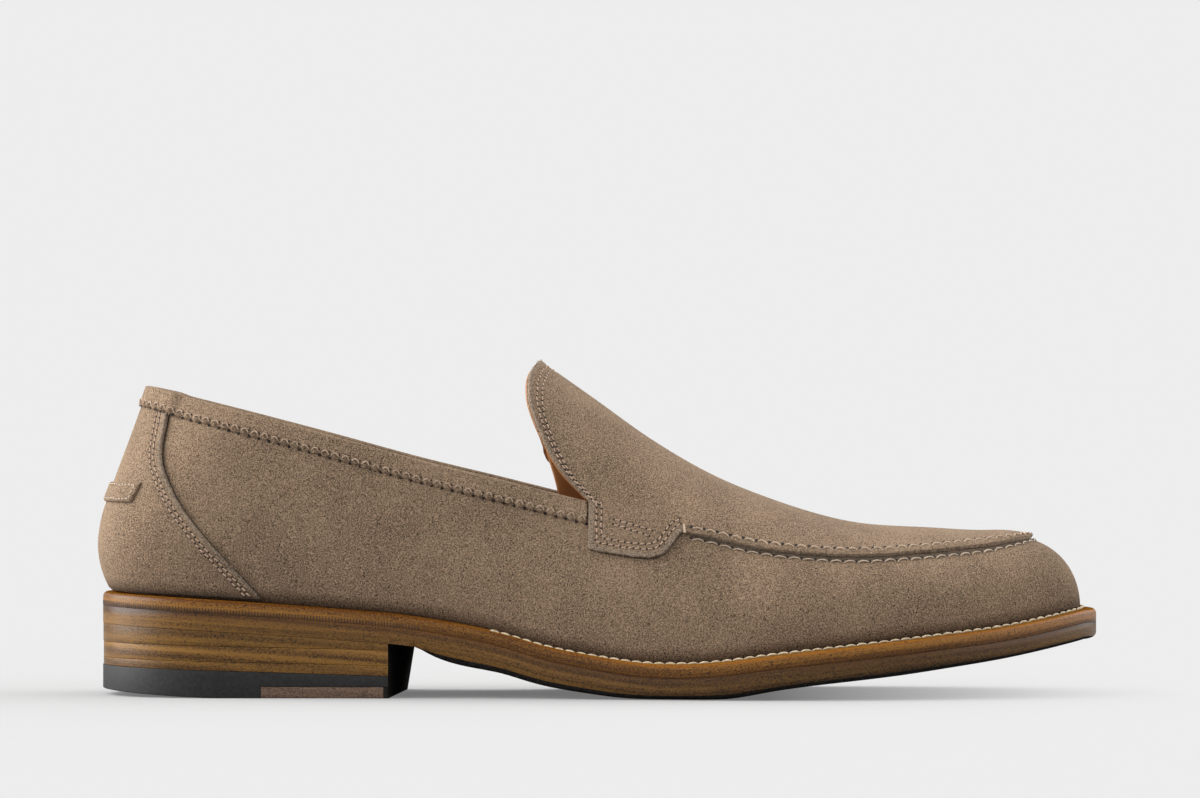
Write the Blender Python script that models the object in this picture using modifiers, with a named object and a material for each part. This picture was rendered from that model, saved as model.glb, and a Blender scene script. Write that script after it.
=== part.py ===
"""A suede apron loafer for the right foot, as the pieces a shoemaker puts together.

The shoe points along +X, the little-toe side faces -Y and the floor is z = 0.
All of it follows one last, worked out from the driving sizes and the section tables below.
"""

import math
from collections import namedtuple

import bmesh
import bpy
import numpy as np

# Driving sizes, in metres
LENGTH = 0.300  # sole, from the heel's back to the toe
BALL_WIDTH = 0.100  # sole across the ball
INSTEP_HEIGHT = 0.100  # top of the tongue above the floor
HEEL_HEIGHT = 0.0312  # foot line above the floor at the heel's back

# Thicknesses and clearances, in metres
WALL = 0.0014  # upper leather with its lining
OVERLAY = 0.0012  # suede stitched over the upper
GAP = 0.0003  # between pieces that touch
WELT = 0.0038
INSOLE = 0.0024

# Places along the shoe, in metres from the heel's back
FOOT_START = 0.013 * LENGTH  # foot line's back end
FOOT_END = 0.9837 * LENGTH  # foot line's toe end
NOTCH = 0.488 * LENGTH  # collar meets the tongue
APRON_TIP = 0.934 * LENGTH

# How the ends of the last are rounded, in metres
HEEL_ROUND = 0.11 * LENGTH
TOE_ROUND = 0.25 * LENGTH
TOE_DROP = 0.09 * LENGTH
APRON_ROUND = 0.1 * LENGTH
LEAN_REACH = 0.2 * LENGTH
PLAN_POWER = 2.3  # exponent of the rounding seen from above

MM = 0.001
PER_CENT = 0.01
MERGE = 0.01 * MM  # points closer than this are one

# Sections of the last. along is per cent of the length, foot of the heel height and ridge of
# the instep height; lateral and medial are half widths in per cent of the ball width. fullness
# is the exponent of the section's superellipse; bulge and centre are in millimetres.
Section = namedtuple("Section", "along foot ridge lateral medial fullness bulge centre")
LAST = [
    Section(0, 100, 101, 29.0, 29.0, 2.0, 2.0, 0),
    Section(7, 96.5, 103, 29.5, 29.2, 2.0, 2.4, 0),
    Section(13, 93, 108, 30.0, 29.2, 2.0, 2.6, -0.2),
    Section(22, 87, 123, 30.8, 28.7, 2.0, 2.6, -0.6),
    Section(32, 78, 124, 32.5, 27.4, 2.2, 2.2, -1.0),
    Section(40, 63.5, 108, 35.0, 27.6, 2.3, 1.8, -0.8),
    Section(44.5, 51, 97.6, 37.4, 29.2, 2.2, 1.6, -0.6),
    Section(49, 42.3, 88.0, 39.8, 31.8, 2.1, 1.5, -0.4),
    Section(55, 34.6, 75.2, 42.8, 36.0, 2.1, 1.5, -0.2),
    Section(61, 35.6, 64.8, 45.0, 40.0, 2.2, 1.8, 0),
    Section(67, 42.7, 57.4, 46.3, 43.0, 2.3, 2.0, 0.2),
    Section(75, 51.3, 50.5, 46.0, 43.8, 2.4, 1.8, 1.2),
    Section(83, 60, 48.6, 43.8, 41.8, 2.4, 1.5, 2.8),
    Section(90, 68, 47.9, 40.4, 39.2, 2.4, 1.2, 4.0),
    Section(98.5, 83, 52.5, 36.0, 36.0, 2.4, 1.0, 5.0),
]

# The heel's back line: how far it leans forward at a height in per cent of the instep height
Lean = namedtuple("Lean", "height forward")
HEEL_BACK = [
    Lean(31, 0),
    Lean(36, -2.4),
    Lean(44, -4.1),
    Lean(52, -3.3),
    Lean(63, 0.3),
    Lean(77, 5.5),
    Lean(93, 11.2),
]

# The sole's rim beyond the foot line, its upright edge and the rounded drop under it, in millimetres
Sole = namedtuple("Sole", "along margin edge drop")
SOLE = [
    Sole(0, 4.1, 9.5, 0),
    Sole(13, 3.6, 9.4, 0),
    Sole(22, 2.6, 9.2, 0),
    Sole(31.6, 2.3, 9.1, 0),
    Sole(33.2, 2.2, 9.0, 2.0),
    Sole(41, 2.2, 9.0, 3.25),
    Sole(49, 3.0, 8.6, 3.1),
    Sole(55, 3.9, 8.4, 2.9),
    Sole(62, 4.8, 8.3, 3.2),
    Sole(68, 5.0, 8.0, 2.6),
    Sole(80, 5.0, 7.9, 2.4),
    Sole(90, 5.0, 7.6, 1.9),
    Sole(100, 4.8, 7.4, 1.9),
]

# Edges of the panels, heights in per cent of the instep height
Edge = namedtuple("Edge", "along height")
COLLAR = [Edge(0, 96.5), Edge(5, 92.6), Edge(22, 79.2), Edge(32, 71.0), Edge(40, 65.2), Edge(48.8, 58.6)]
# The apron's cut edge with its wing, and the smooth line above it that its rows follow
Apron = namedtuple("Apron", "along edge line")
APRON = [
    Apron(48.8, 44.3, 58.6),
    Apron(50, 42.9, 57.8),
    Apron(54, 41.8, 55.0),
    Apron(55.9, 43.2, 53.6),
    Apron(58.2, 49.9, 51.8),
    Apron(59.5, 49.4, 51.0),
    Apron(66, 44.8, 46.6),
    Apron(73, 42.3, 44.0),
    Apron(78, 41.6, 43.1),
    Apron(85, 42.6, 43.8),
    Apron(93.4, 44.4, 45.2),
]
Front = namedtuple("Front", "height along")
COUNTER_FRONT = [
    Front(28, 16.7),
    Front(40, 13.5),
    Front(51, 10.5),
    Front(63, 7.2),
    Front(70, 5.6),
    Front(84, 4.4),
]

# The tongue's edge: share of the way from the notch up to the ridge, and the place on either side
# in per cent of the length; the medial edge stands further back
Throat = namedtuple("Throat", "rise lateral medial")
TONGUE_EDGE = [
    Throat(0, 48.8, 48.8),
    Throat(0.06, 46.3, 45.1),
    Throat(0.15, 44.6, 44.1),
    Throat(0.23, 43.7, 43.5),
    Throat(0.34, 42.9, 42.9),
    Throat(0.48, 42.7, 42.7),
    Throat(0.7, 43.1, 43.1),
    Throat(0.85, 43.5, 43.5),
    Throat(0.94, 43.68, 43.68),
    Throat(1, 43.7, 43.7),
]

BINDING_DEPTH = 6.8 * MM
COUNTER_LIFT = 0.9 * MM  # the counter's lower edge above the foot line
TAB_LOW = 57.5 * PER_CENT * INSTEP_HEIGHT
TAB_HIGH = 63.3 * PER_CENT * INSTEP_HEIGHT
TAB_REACH = 0.044 * LENGTH

# Layers of the heel from the top: height of each underside at the heel's back and at the breast in
# per cent of the heel height, where the breast's medial corner is in per cent of the length, and the
# inset from the sole's rim in millimetres
Layer = namedtuple("Layer", "name back front medial_breast inset")
HEEL_LAYERS = [
    Layer("heel_lift_1", 52, 46, 31.1, 0.1),
    Layer("heel_lift_2", 37.2, 31, 30.9, 0.2),
    Layer("heel_lift_3", 29.5, 21.2, 30.7, 0.2),
    Layer("heel_top_piece", 0, 0, 30.3, 0),
]
BREAST = 0.29 * LENGTH
HEEL_INSET_START = 0.164 * LENGTH
HEEL_INSET = 3.3 * MM
HEEL_KICK = 2.0 * MM  # the heel's back edge is lifted off the floor
HEEL_KICK_REACH = 0.12 * LENGTH
HEEL_KICK_POWER = 1.4
SOLE_ROUND = 3.0 * MM  # how far the outsole's lower edge is rounded in
SOLE_ROUND_HEIGHT = 2.0 * MM  # and where that starts above the floor
FULL_ROUND_DROP = 1.0 * MM  # drop from which the rounding is whole

# The floor under the middle of the shoe, from the heel's back and the last's centre line, in metres
MIDDLE_ALONG = 0.497 * LENGTH
MIDDLE_ACROSS = -0.0008

Finish = namedtuple("Finish", "colour roughness")
SUEDE = Finish((0.22, 0.155, 0.115), 0.95)
SOLE_LEATHER = Finish((0.26, 0.115, 0.035), 0.35)
LINING = Finish((0.45, 0.2, 0.07), 0.55)
RUBBER = Finish((0.012, 0.012, 0.012), 0.6)

# Fineness of the meshes
QUARTER_COLUMNS = 25
WALL_ROWS = 8
CROWN_ROWS = 7
CROWN_SPREAD = 1.35  # exponent that draws the rows together at the notch
VAMP_COLUMNS = 26
TONGUE_COLUMNS = 3
WING_ROWS = 3
SOLE_STATIONS = 46
HEEL_STATIONS = 13
SOLE_BREAKS = [0.316 * LENGTH, 0.332 * LENGTH, 0.545 * LENGTH, 0.622 * LENGTH]  # breast and flat spot
COUNTER_COLUMNS = 32
COUNTER_ROWS = 10
BINDING_ROWS = 2
TAB_COLUMNS = 8
TAB_ROWS = 2
SETTLE_STEPS = 12  # rounds in which a place that depends on its own height is found
SHARP = math.radians(40)


def clear_scene():
    for thing in list(bpy.data.objects):
        bpy.data.objects.remove(thing, do_unlink=True)


def curve(rows, column, per=1.0, by="along", by_per=PER_CENT * LENGTH):
    """A smooth curve through one column of a table, flat beyond its ends."""
    knots = np.array([getattr(row, by) for row in rows]) * by_per
    values = np.array([getattr(row, column) for row in rows]) * per
    slopes = np.gradient(values, knots)

    def at(place):
        place = min(max(place, knots[0]), knots[-1])
        low = min(max(int(np.searchsorted(knots, place)) - 1, 0), len(knots) - 2)
        span = knots[low + 1] - knots[low]
        t = (place - knots[low]) / span
        ease = t * t * (3 - 2 * t)
        bend = t * (1 - t) * span * ((1 - t) * slopes[low] - t * slopes[low + 1])
        return values[low] * (1 - ease) + values[low + 1] * ease + bend

    return at


foot = curve(LAST, "foot", PER_CENT * HEEL_HEIGHT)
ridge = curve(LAST, "ridge", PER_CENT * INSTEP_HEIGHT)
lateral = curve(LAST, "lateral", PER_CENT * BALL_WIDTH)
medial = curve(LAST, "medial", PER_CENT * BALL_WIDTH)
fullness = curve(LAST, "fullness")
bulge = curve(LAST, "bulge", MM)
centre = curve(LAST, "centre", MM)
lean = curve(HEEL_BACK, "forward", MM, "height", PER_CENT * INSTEP_HEIGHT)
rim = curve(SOLE, "margin", MM)
edge_depth = curve(SOLE, "edge", MM)
edge_drop = curve(SOLE, "drop", MM)
collar_height = curve(COLLAR, "height", PER_CENT * INSTEP_HEIGHT)
apron_edge = curve(APRON, "edge", PER_CENT * INSTEP_HEIGHT)
apron_line = curve(APRON, "line", PER_CENT * INSTEP_HEIGHT)
counter_front = curve(COUNTER_FRONT, "along", PER_CENT * LENGTH, "height", PER_CENT * INSTEP_HEIGHT)
tongue_lateral = curve(TONGUE_EDGE, "lateral", PER_CENT * LENGTH, "rise", 1.0)
tongue_medial = curve(TONGUE_EDGE, "medial", PER_CENT * LENGTH, "rise", 1.0)


def rounded(share, power=2.0):
    """Rises from 0 to 1 like a quarter of a superellipse, and stays there."""
    left = min(max(1 - share, 0.0), 1.0)
    return (1 - left**power) ** (1 / power)


def eased(share):
    share = min(max(share, 0.0), 1.0)
    return share * share * (3 - 2 * share)


def last_height(x):
    return (ridge(x) - foot(x)) * rounded((FOOT_END - x) / TOE_DROP)


def forward(x, z):
    """How far the heel's lean moves a point of the last along the shoe."""
    return lean(z) * (1 - eased((x - FOOT_START) / LEAN_REACH))


def skin(x, angle):
    """Outside of the upper. angle runs from the lateral foot line, 0, over the ridge to the medial, pi."""
    power = 2 / fullness(x)
    heel_end = rounded((x - FOOT_START) / HEEL_ROUND, PLAN_POWER)
    toe_end = rounded((FOOT_END - x) / TOE_ROUND, PLAN_POWER)
    side = -1 if angle <= math.pi / 2 else 1
    width = lateral(x) if side < 0 else medial(x)
    rise = max(math.sin(angle), 0.0)
    reach = abs(math.cos(angle))
    half = width * reach**power + bulge(x) * 2 * rise * reach
    z = foot(x) + last_height(x) * rise**power
    return (x + forward(x, z), centre(x) + side * half * heel_end * toe_end, z)


def angle_at(x, z):
    """The lateral angle at which the section reaches a height."""
    share = min(max((z - foot(x)) / max(last_height(x), MERGE), 0.0), 1.0)
    return math.asin(share ** (fullness(x) / 2))


def station(t):
    """Place along the foot line, closer together towards the ends."""
    return FOOT_START + (FOOT_END - FOOT_START) * (1 - math.cos(math.pi * t)) / 2


def station_of(x):
    return math.acos(1 - 2 * (x - FOOT_START) / (FOOT_END - FOOT_START)) / math.pi


def edge_angle(x, height, below=0.0):
    """The angle of a line on the upper whose height is given along the leaning heel."""
    z = height(x)
    for _ in range(SETTLE_STEPS):
        z = height(x + forward(x, z)) - below
    return angle_at(x, z)


def collar_angle(x):
    return edge_angle(x, collar_height)


def apron_angle(x, height):
    """A line of the apron, drawn up to the ridge round its tip."""
    open_angle = math.pi / 2 - angle_at(x, height(x))
    return math.pi / 2 - open_angle * rounded((APRON_TIP - x) / APRON_ROUND, PLAN_POWER)


def tongue_start(angle):
    """Where the tongue's edge lies at an angle over the instep."""
    low = collar_angle(NOTCH)
    rise = (min(angle, math.pi - angle) - low) / (math.pi / 2 - low)
    return tongue_lateral(rise) if angle <= math.pi / 2 else tongue_medial(rise)


def crown_shares():
    """Rows from the notch to the ridge, closer together at the notch."""
    return [(row / CROWN_ROWS) ** CROWN_SPREAD for row in range(CROWN_ROWS + 1)]


def mirrored(angles):
    """Rows over one side, repeated over the other."""
    return angles + [math.pi - angle for angle in reversed(angles[:-1])]


def crown_angles():
    low = collar_angle(NOTCH)
    return mirrored([low + (math.pi / 2 - low) * share for share in crown_shares()])


def wall_angles():
    low = collar_angle(NOTCH)
    walls = [low * row / WALL_ROWS for row in range(WALL_ROWS)]
    return walls + crown_angles() + [math.pi - angle for angle in reversed(walls)]


def shaped_grid(bm, columns, rows, shape):
    """A grid whose points are placed by shape(share along, row number)."""
    grid = bmesh.ops.create_grid(bm, x_segments=columns, y_segments=rows, size=0.5)
    for vert in grid["verts"]:
        vert.co = shape(vert.co.x + 0.5, round((vert.co.y + 0.5) * rows))


def round_heel(share, end):
    """Side and place of a column that runs from a medial end round the heel to a lateral end."""
    turn = 2 * share - 1
    return turn < 0, station(abs(turn) * station_of(end))


def quarter_point(end, low, high, rows, share, row):
    """A point of a band round the heel between two lines given as angles."""
    on_medial, x = round_heel(share, end)
    angle = low(x) + (high(x) - low(x)) * row / rows
    return skin(x, math.pi - angle if on_medial else angle)


def vamp_point(share, row):
    start = station_of(NOTCH)
    return skin(station(start + (1 - start) * share), wall_angles()[row])


def tongue_point(share, row):
    angle = crown_angles()[row]
    start = tongue_start(angle)
    return skin(start + (NOTCH - start) * share, angle)


def apron_rows(x):
    """Rows across the apron: up its cut edge or wing, then from a line through the notch to the ridge."""
    edge = apron_angle(x, apron_edge)
    line = apron_angle(x, apron_line)
    wing = [edge + (line - edge) * row / WING_ROWS for row in range(WING_ROWS)]
    return mirrored(wing + [line + (math.pi / 2 - line) * share for share in crown_shares()])


def apron_point(share, row):
    start = station_of(NOTCH)
    x = station(start + (station_of(APRON_TIP) - start) * share)
    return skin(x, apron_rows(x)[row])


def counter_angle(x, row):
    """Rows of the counter between the foot line and the collar's binding."""
    start = angle_at(x, foot(x) + COUNTER_LIFT)
    end = edge_angle(x, collar_height, BINDING_DEPTH + GAP)
    return start + (end - start) * row / COUNTER_ROWS


def counter_point(share, row):
    """A point of the counter, whose front edge moves with the height."""
    front = HEEL_ROUND
    for _ in range(SETTLE_STEPS):
        front = counter_front(skin(front, counter_angle(front, row))[2])
    on_medial, x = round_heel(share, front)
    angle = counter_angle(x, row)
    return skin(x, math.pi - angle if on_medial else angle)


def material_of(name, finish):
    material = bpy.data.materials.new(name)
    material.use_nodes = True
    shader = material.node_tree.nodes["Principled BSDF"]
    shader.inputs["Base Color"].default_value = (*finish.colour, 1)
    shader.inputs["Roughness"].default_value = finish.roughness
    return material


def place(name, bm, finish):
    """The finished mesh as a named object of the shoe."""
    mesh = bpy.data.meshes.new(name)
    bm.to_mesh(mesh)
    bm.free()
    mesh.shade_smooth()
    mesh.set_sharp_from_angle(angle=SHARP)
    mesh.materials.append(material_of(name, finish))
    thing = bpy.data.objects.new(name, mesh)
    shoe.objects.link(thing)
    thing.parent = root
    return thing


def shell(name, grids, thickness, clearance, finish):
    """A panel of even thickness. It lies inside the skin, or this far outside it."""
    bm = bmesh.new()
    for columns, rows, shape in grids:
        shaped_grid(bm, columns, rows, shape)
    bmesh.ops.remove_doubles(bm, verts=bm.verts, dist=MERGE)
    thing = place(name, bm, finish)
    solid = thing.modifiers.new("thickness", "SOLIDIFY")
    solid.thickness = thickness
    solid.offset = -1 if clearance is None else 1 + 2 * clearance / thickness
    return thing


def loft(name, sections, ends, finish):
    """A closed solid through sections with the same number of points; ends names those that take a cap."""
    bm = bmesh.new()
    rings = [[bm.verts.new(point) for point in section] for section in sections]
    for ring, following in zip(rings, rings[1:]):
        for k in range(len(ring)):
            bm.faces.new((ring[k - 1], ring[k], following[k], following[k - 1]))
    for end in ends:
        bm.faces.new(rings[end])
    bmesh.ops.remove_doubles(bm, verts=bm.verts, dist=MERGE)
    bmesh.ops.recalc_face_normals(bm, faces=bm.faces)
    return place(name, bm, finish)


def foot_line(turn):
    """The foot line seen from above: lateral side for 0 to 1, then back along the medial side to 2."""
    turn %= 2
    if turn <= 1:
        return np.array(skin(station(turn), 0)[:2])
    return np.array(skin(station(2 - turn), math.pi)[:2])


def sole_point(turn, beyond, height):
    """A point of a sole layer: beyond gives its distance outside the foot line, height its level."""
    step = 0.001
    here = foot_line(turn)
    way = foot_line(turn + step) - foot_line(turn - step)
    outward = np.array((way[1], -way[0])) / np.hypot(*way)
    x, y = here + outward * beyond(here[0])
    return (x, y, height(x))


def sole_section(lateral_turn, medial_turn, levels):
    """A section across a layer, down the lateral side and up the medial one."""
    down = [sole_point(lateral_turn, *level) for level in levels]
    up = [sole_point(2 - medial_turn, *level) for level in reversed(levels)]
    return down + up


def welt_top(x):
    return foot(x) - GAP


def welt_under(x):
    return welt_top(x) - WELT


def sole_edge(x):
    return max(foot(x) - edge_depth(x), SOLE_ROUND_HEIGHT)


def sole_under(x):
    return max(foot(x) - edge_depth(x) - max(edge_drop(x), 0.0), 0.0)


def sole_layer(name, levels, finish):
    turns = [k / SOLE_STATIONS for k in range(SOLE_STATIONS + 1)]
    turns = sorted(turns + [station_of(x) for x in SOLE_BREAKS])
    loft(name, [sole_section(turn, turn, levels) for turn in turns], (), finish)


def heel_layer(start, levels, ends):
    """Sections of a heel layer from a place, 0 for the heel's back, to its lateral and medial ends."""
    lateral_end, medial_end = (station_of(end) for end in ends)
    begin = station_of(start) / lateral_end if start else 0.0
    shares = [begin + (1 - begin) * k / HEEL_STATIONS for k in range(HEEL_STATIONS + 1)]
    return [sole_section(lateral_end * share, medial_end * share, levels) for share in shares]


def build_sole():
    def rounded_in(x):
        return rim(x) - SOLE_ROUND * min(max(edge_drop(x), 0.0) / FULL_ROUND_DROP, 1.0)

    def inside(x):
        return -WALL - 2 * GAP

    outsole = [(rim, lambda x: welt_under(x) - GAP), (rim, sole_edge), (rounded_in, sole_under)]
    sole_layer("outsole", outsole, SOLE_LEATHER)
    sole_layer("welt", [(rim, welt_top), (rim, welt_under)], SOLE_LEATHER)
    sole_layer("insole", [(inside, lambda x: foot(x) + INSOLE), (inside, foot)], LINING)


def heel_floor(x):
    """The heel's underside, lifted a little at its back edge."""
    return HEEL_KICK * max(1 - x / HEEL_KICK_REACH, 0.0) ** HEEL_KICK_POWER


def build_heel():
    above = sole_under
    for layer in HEEL_LAYERS:
        def beyond(x, layer=layer):
            return rim(x) - layer.inset * MM

        def top(x, above=above):
            return above(x) - GAP

        def under(x, layer=layer):
            share = layer.back + (layer.front - layer.back) * x / BREAST
            return share * PER_CENT * HEEL_HEIGHT

        ends = (BREAST, layer.medial_breast * PER_CENT * LENGTH)
        if layer.back:
            levels = [(beyond, top), (beyond, under)]
            loft(layer.name, heel_layer(0, levels, ends), (-1,), SOLE_LEATHER)
            above = under
            continue
        stepped = [(beyond, top), (beyond, lambda x: HEEL_INSET + GAP)]
        whole = [(beyond, top), (beyond, heel_floor)]
        along_heel = station_of(HEEL_INSET_START) / station_of(BREAST)
        back_ends = (HEEL_INSET_START, station(along_heel * station_of(ends[1])))
        sections = heel_layer(0, whole, back_ends)
        sections += heel_layer(HEEL_INSET_START, stepped, ends)
        loft(layer.name, sections, (-1,), RUBBER)
        inset = [(beyond, lambda x: HEEL_INSET), (beyond, heel_floor)]
        sections = heel_layer(HEEL_INSET_START + GAP, inset, ends)
        loft("heel_top_inset", sections, (0, -1), SOLE_LEATHER)


def build_upper():
    def foot_angle(x):
        return 0.0

    def quarter(share, row):
        return quarter_point(NOTCH, foot_angle, collar_angle, WALL_ROWS, share, row)

    rows = 2 * (WALL_ROWS + CROWN_ROWS)
    shell("upper", [
        (2 * QUARTER_COLUMNS, WALL_ROWS, quarter),
        (VAMP_COLUMNS, rows, vamp_point),
        (TONGUE_COLUMNS, 2 * CROWN_ROWS, tongue_point),
    ], WALL, None, SUEDE)


def build_overlays():
    def binding(share, row):
        def low(x):
            return edge_angle(x, collar_height, BINDING_DEPTH)

        return quarter_point(NOTCH - 2 * GAP, low, collar_angle, BINDING_ROWS, share, row)

    def tab(share, row):
        def low(x):
            return edge_angle(x, lambda place: TAB_LOW)

        def high(x):
            return edge_angle(x, lambda place: TAB_HIGH)

        return quarter_point(TAB_REACH, low, high, TAB_ROWS, share, row)

    shell("apron", [
        (VAMP_COLUMNS, 2 * (WING_ROWS + CROWN_ROWS), apron_point),
        (TONGUE_COLUMNS, 2 * CROWN_ROWS, tongue_point),
    ], OVERLAY, GAP, SUEDE)
    shell("counter", [(COUNTER_COLUMNS, COUNTER_ROWS, counter_point)], OVERLAY, GAP, SUEDE)
    shell("collar_binding", [(2 * QUARTER_COLUMNS, BINDING_ROWS, binding)], OVERLAY, GAP, SUEDE)
    shell("back_tab", [(TAB_COLUMNS, TAB_ROWS, tab)], OVERLAY, OVERLAY + 2 * GAP, SUEDE)


clear_scene()
shoe = bpy.data.collections.new("suede_loafer")
bpy.context.scene.collection.children.link(shoe)
root = bpy.data.objects.new("loafer", None)
root.location = (-MIDDLE_ALONG, -MIDDLE_ACROSS, 0)
shoe.objects.link(root)

build_sole()
build_heel()
build_upper()
build_overlays()
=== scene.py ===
"""Looks of a suede apron loafer for the right foot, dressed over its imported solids.

The shoe points along +X, its little-toe side faces -Y and the floor is z = 0, in metres.
"""

import math
from collections import namedtuple

import bmesh
import bpy
import numpy as np
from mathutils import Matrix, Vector
from mathutils.kdtree import KDTree


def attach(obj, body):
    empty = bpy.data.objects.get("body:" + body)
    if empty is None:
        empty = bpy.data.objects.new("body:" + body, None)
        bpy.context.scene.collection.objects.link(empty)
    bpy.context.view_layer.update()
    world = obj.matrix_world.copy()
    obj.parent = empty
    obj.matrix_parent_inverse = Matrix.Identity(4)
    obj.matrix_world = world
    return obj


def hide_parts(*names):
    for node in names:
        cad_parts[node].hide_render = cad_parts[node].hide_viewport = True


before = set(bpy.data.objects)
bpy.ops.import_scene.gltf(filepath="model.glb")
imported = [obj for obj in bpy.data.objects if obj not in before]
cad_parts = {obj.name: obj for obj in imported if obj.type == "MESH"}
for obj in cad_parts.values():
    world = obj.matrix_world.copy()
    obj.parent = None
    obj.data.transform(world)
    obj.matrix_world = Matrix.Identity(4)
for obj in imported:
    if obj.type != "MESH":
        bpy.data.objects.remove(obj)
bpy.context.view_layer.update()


# Insole
# The tan leather sock that the foot stands on, cut to the foot line of the last and glued in. The last is the
# form that all pieces are made over, so its sizes and sections stand here.
MM = 0.001
PER_CENT = 0.01
LENGTH = 0.300
BALL_WIDTH = 0.100
INSTEP_HEIGHT = 0.100
HEEL_HEIGHT = 0.0312
MIDDLE_ALONG = 0.497 * LENGTH
MIDDLE_ACROSS = -0.8 * MM
FOOT_START = 0.013 * LENGTH
FOOT_END = 0.9837 * LENGTH
HEEL_ROUND = 0.11 * LENGTH
TOE_ROUND = 0.25 * LENGTH
TOE_DROP = 0.09 * LENGTH
LEAN_REACH = 0.2 * LENGTH
PLAN_POWER = 2.3
WALL = 1.4 * MM
GAP = 0.3 * MM
INSOLE = 2.4 * MM
INSOLE_ROUND = 0.8 * MM
INSOLE_UNDER_ROUND = 0.1 * MM
SAME_POINT = 0.01 * MM  # points of a solid that lie closer than this are one
SHARP = math.radians(50)  # edges that turn by more than this stay sharp

# Sections of the last: along is per cent of the length, foot of the heel height, ridge of the instep height
# and the half widths of the ball width; bulge and centre are millimetres
Section = namedtuple("Section", "along foot ridge lateral medial fullness bulge centre")
LAST = [
    Section(0, 100, 101, 29.0, 29.0, 2.0, 2.0, 0),
    Section(7, 96.5, 103, 29.5, 29.2, 2.0, 2.4, 0),
    Section(13, 93, 108, 30.0, 29.2, 2.0, 2.6, -0.2),
    Section(22, 87, 123, 30.8, 28.7, 2.0, 2.6, -0.6),
    Section(32, 78, 124, 32.5, 27.4, 2.2, 2.2, -1.0),
    Section(40, 63.5, 108, 35.0, 27.6, 2.3, 1.8, -0.8),
    Section(44.5, 51, 97.6, 37.4, 29.2, 2.2, 1.6, -0.6),
    Section(49, 42.3, 88.0, 39.8, 31.8, 2.1, 1.5, -0.4),
    Section(55, 34.6, 75.2, 42.8, 36.0, 2.1, 1.5, -0.2),
    Section(61, 35.6, 64.8, 45.0, 40.0, 2.2, 1.8, 0),
    Section(67, 42.7, 57.4, 46.3, 43.0, 2.3, 2.0, 0.2),
    Section(75, 51.3, 50.5, 46.0, 43.8, 2.4, 1.8, 1.2),
    Section(83, 60, 48.6, 43.8, 41.8, 2.4, 1.5, 2.8),
    Section(90, 68, 47.9, 40.4, 39.2, 2.4, 1.2, 4.0),
    Section(98.5, 83, 52.5, 36.0, 36.0, 2.4, 1.0, 5.0),
]
# How far the heel's back line leans forward, in millimetres, at a height in per cent of the instep height
Lean = namedtuple("Lean", "height forward")
HEEL_BACK = [
    Lean(31, 0), Lean(36, -2.4), Lean(44, -4.1), Lean(52, -3.3), Lean(63, 0.3), Lean(77, 5.5), Lean(93, 11.2),
]


def through(rows, column, unit=1.0, by="along", by_unit=PER_CENT * LENGTH):
    """A smooth curve through one column of a table, flat beyond its ends."""
    knots = np.array([getattr(row, by) for row in rows]) * by_unit
    values = np.array([getattr(row, column) for row in rows]) * unit
    slopes = np.gradient(values, knots)

    def at(place):
        place = np.clip(place, knots[0], knots[-1])
        low = np.clip(np.searchsorted(knots, place) - 1, 0, len(knots) - 2)
        span = knots[low + 1] - knots[low]
        t = (place - knots[low]) / span
        ease = t * t * (3 - 2 * t)
        bend = t * (1 - t) * span * ((1 - t) * slopes[low] - t * slopes[low + 1])
        return values[low] * (1 - ease) + values[low + 1] * ease + bend

    return at


foot = through(LAST, "foot", PER_CENT * HEEL_HEIGHT)
ridge = through(LAST, "ridge", PER_CENT * INSTEP_HEIGHT)
lateral = through(LAST, "lateral", PER_CENT * BALL_WIDTH)
medial = through(LAST, "medial", PER_CENT * BALL_WIDTH)
fullness = through(LAST, "fullness")
bulge = through(LAST, "bulge", MM)
centre = through(LAST, "centre", MM)
lean = through(HEEL_BACK, "forward", MM, "height", PER_CENT * INSTEP_HEIGHT)


def rounded(share, power=2.0):
    """Rises from 0 to 1 like a quarter of a superellipse, and stays there."""
    left = np.clip(1 - share, 0.0, 1.0)
    return (1 - left**power) ** (1 / power)


def eased(share):
    share = np.clip(share, 0.0, 1.0)
    return share * share * (3 - 2 * share)


def last_height(x):
    return (ridge(x) - foot(x)) * rounded((FOOT_END - x) / TOE_DROP)


def forward(x, z):
    """How far the heel's lean moves a point of the last along the shoe."""
    return lean(z) * (1 - eased((x - FOOT_START) / LEAN_REACH))


def skin(x, angle):
    """Outside of the lasted upper. angle runs from the lateral foot line, 0, over the ridge to the medial
    one, pi."""
    x, angle = np.broadcast_arrays(x, angle)
    power = 2 / fullness(x)
    heel_end = rounded((x - FOOT_START) / HEEL_ROUND, PLAN_POWER)
    toe_end = rounded((FOOT_END - x) / TOE_ROUND, PLAN_POWER)
    on_lateral = angle <= math.pi / 2
    rise = np.clip(np.sin(angle), 0.0, 1.0)
    reach = np.abs(np.cos(angle))
    half = np.where(on_lateral, lateral(x), medial(x)) * reach**power + bulge(x) * 2 * rise * reach
    z = foot(x) + last_height(x) * rise**power
    y = centre(x) + np.where(on_lateral, -half, half) * heel_end * toe_end
    return np.stack((x + forward(x, z) - MIDDLE_ALONG, y - MIDDLE_ACROSS, z), axis=-1)


def station(t):
    """Place along the foot line for 0 to 1, closer together towards the ends."""
    return FOOT_START + (FOOT_END - FOOT_START) * (1 - np.cos(np.pi * t)) / 2


def station_of(x):
    return np.arccos(1 - 2 * (x - FOOT_START) / (FOOT_END - FOOT_START)) / np.pi


def foot_line(turn):
    """The foot line seen from above: lateral side for 0 to 1, then back along the medial side to 2."""
    turn = np.mod(turn, 2)
    on_lateral = turn <= 1
    return skin(station(np.where(on_lateral, turn, 2 - turn)), np.where(on_lateral, 0.0, np.pi))[..., :2]


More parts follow.
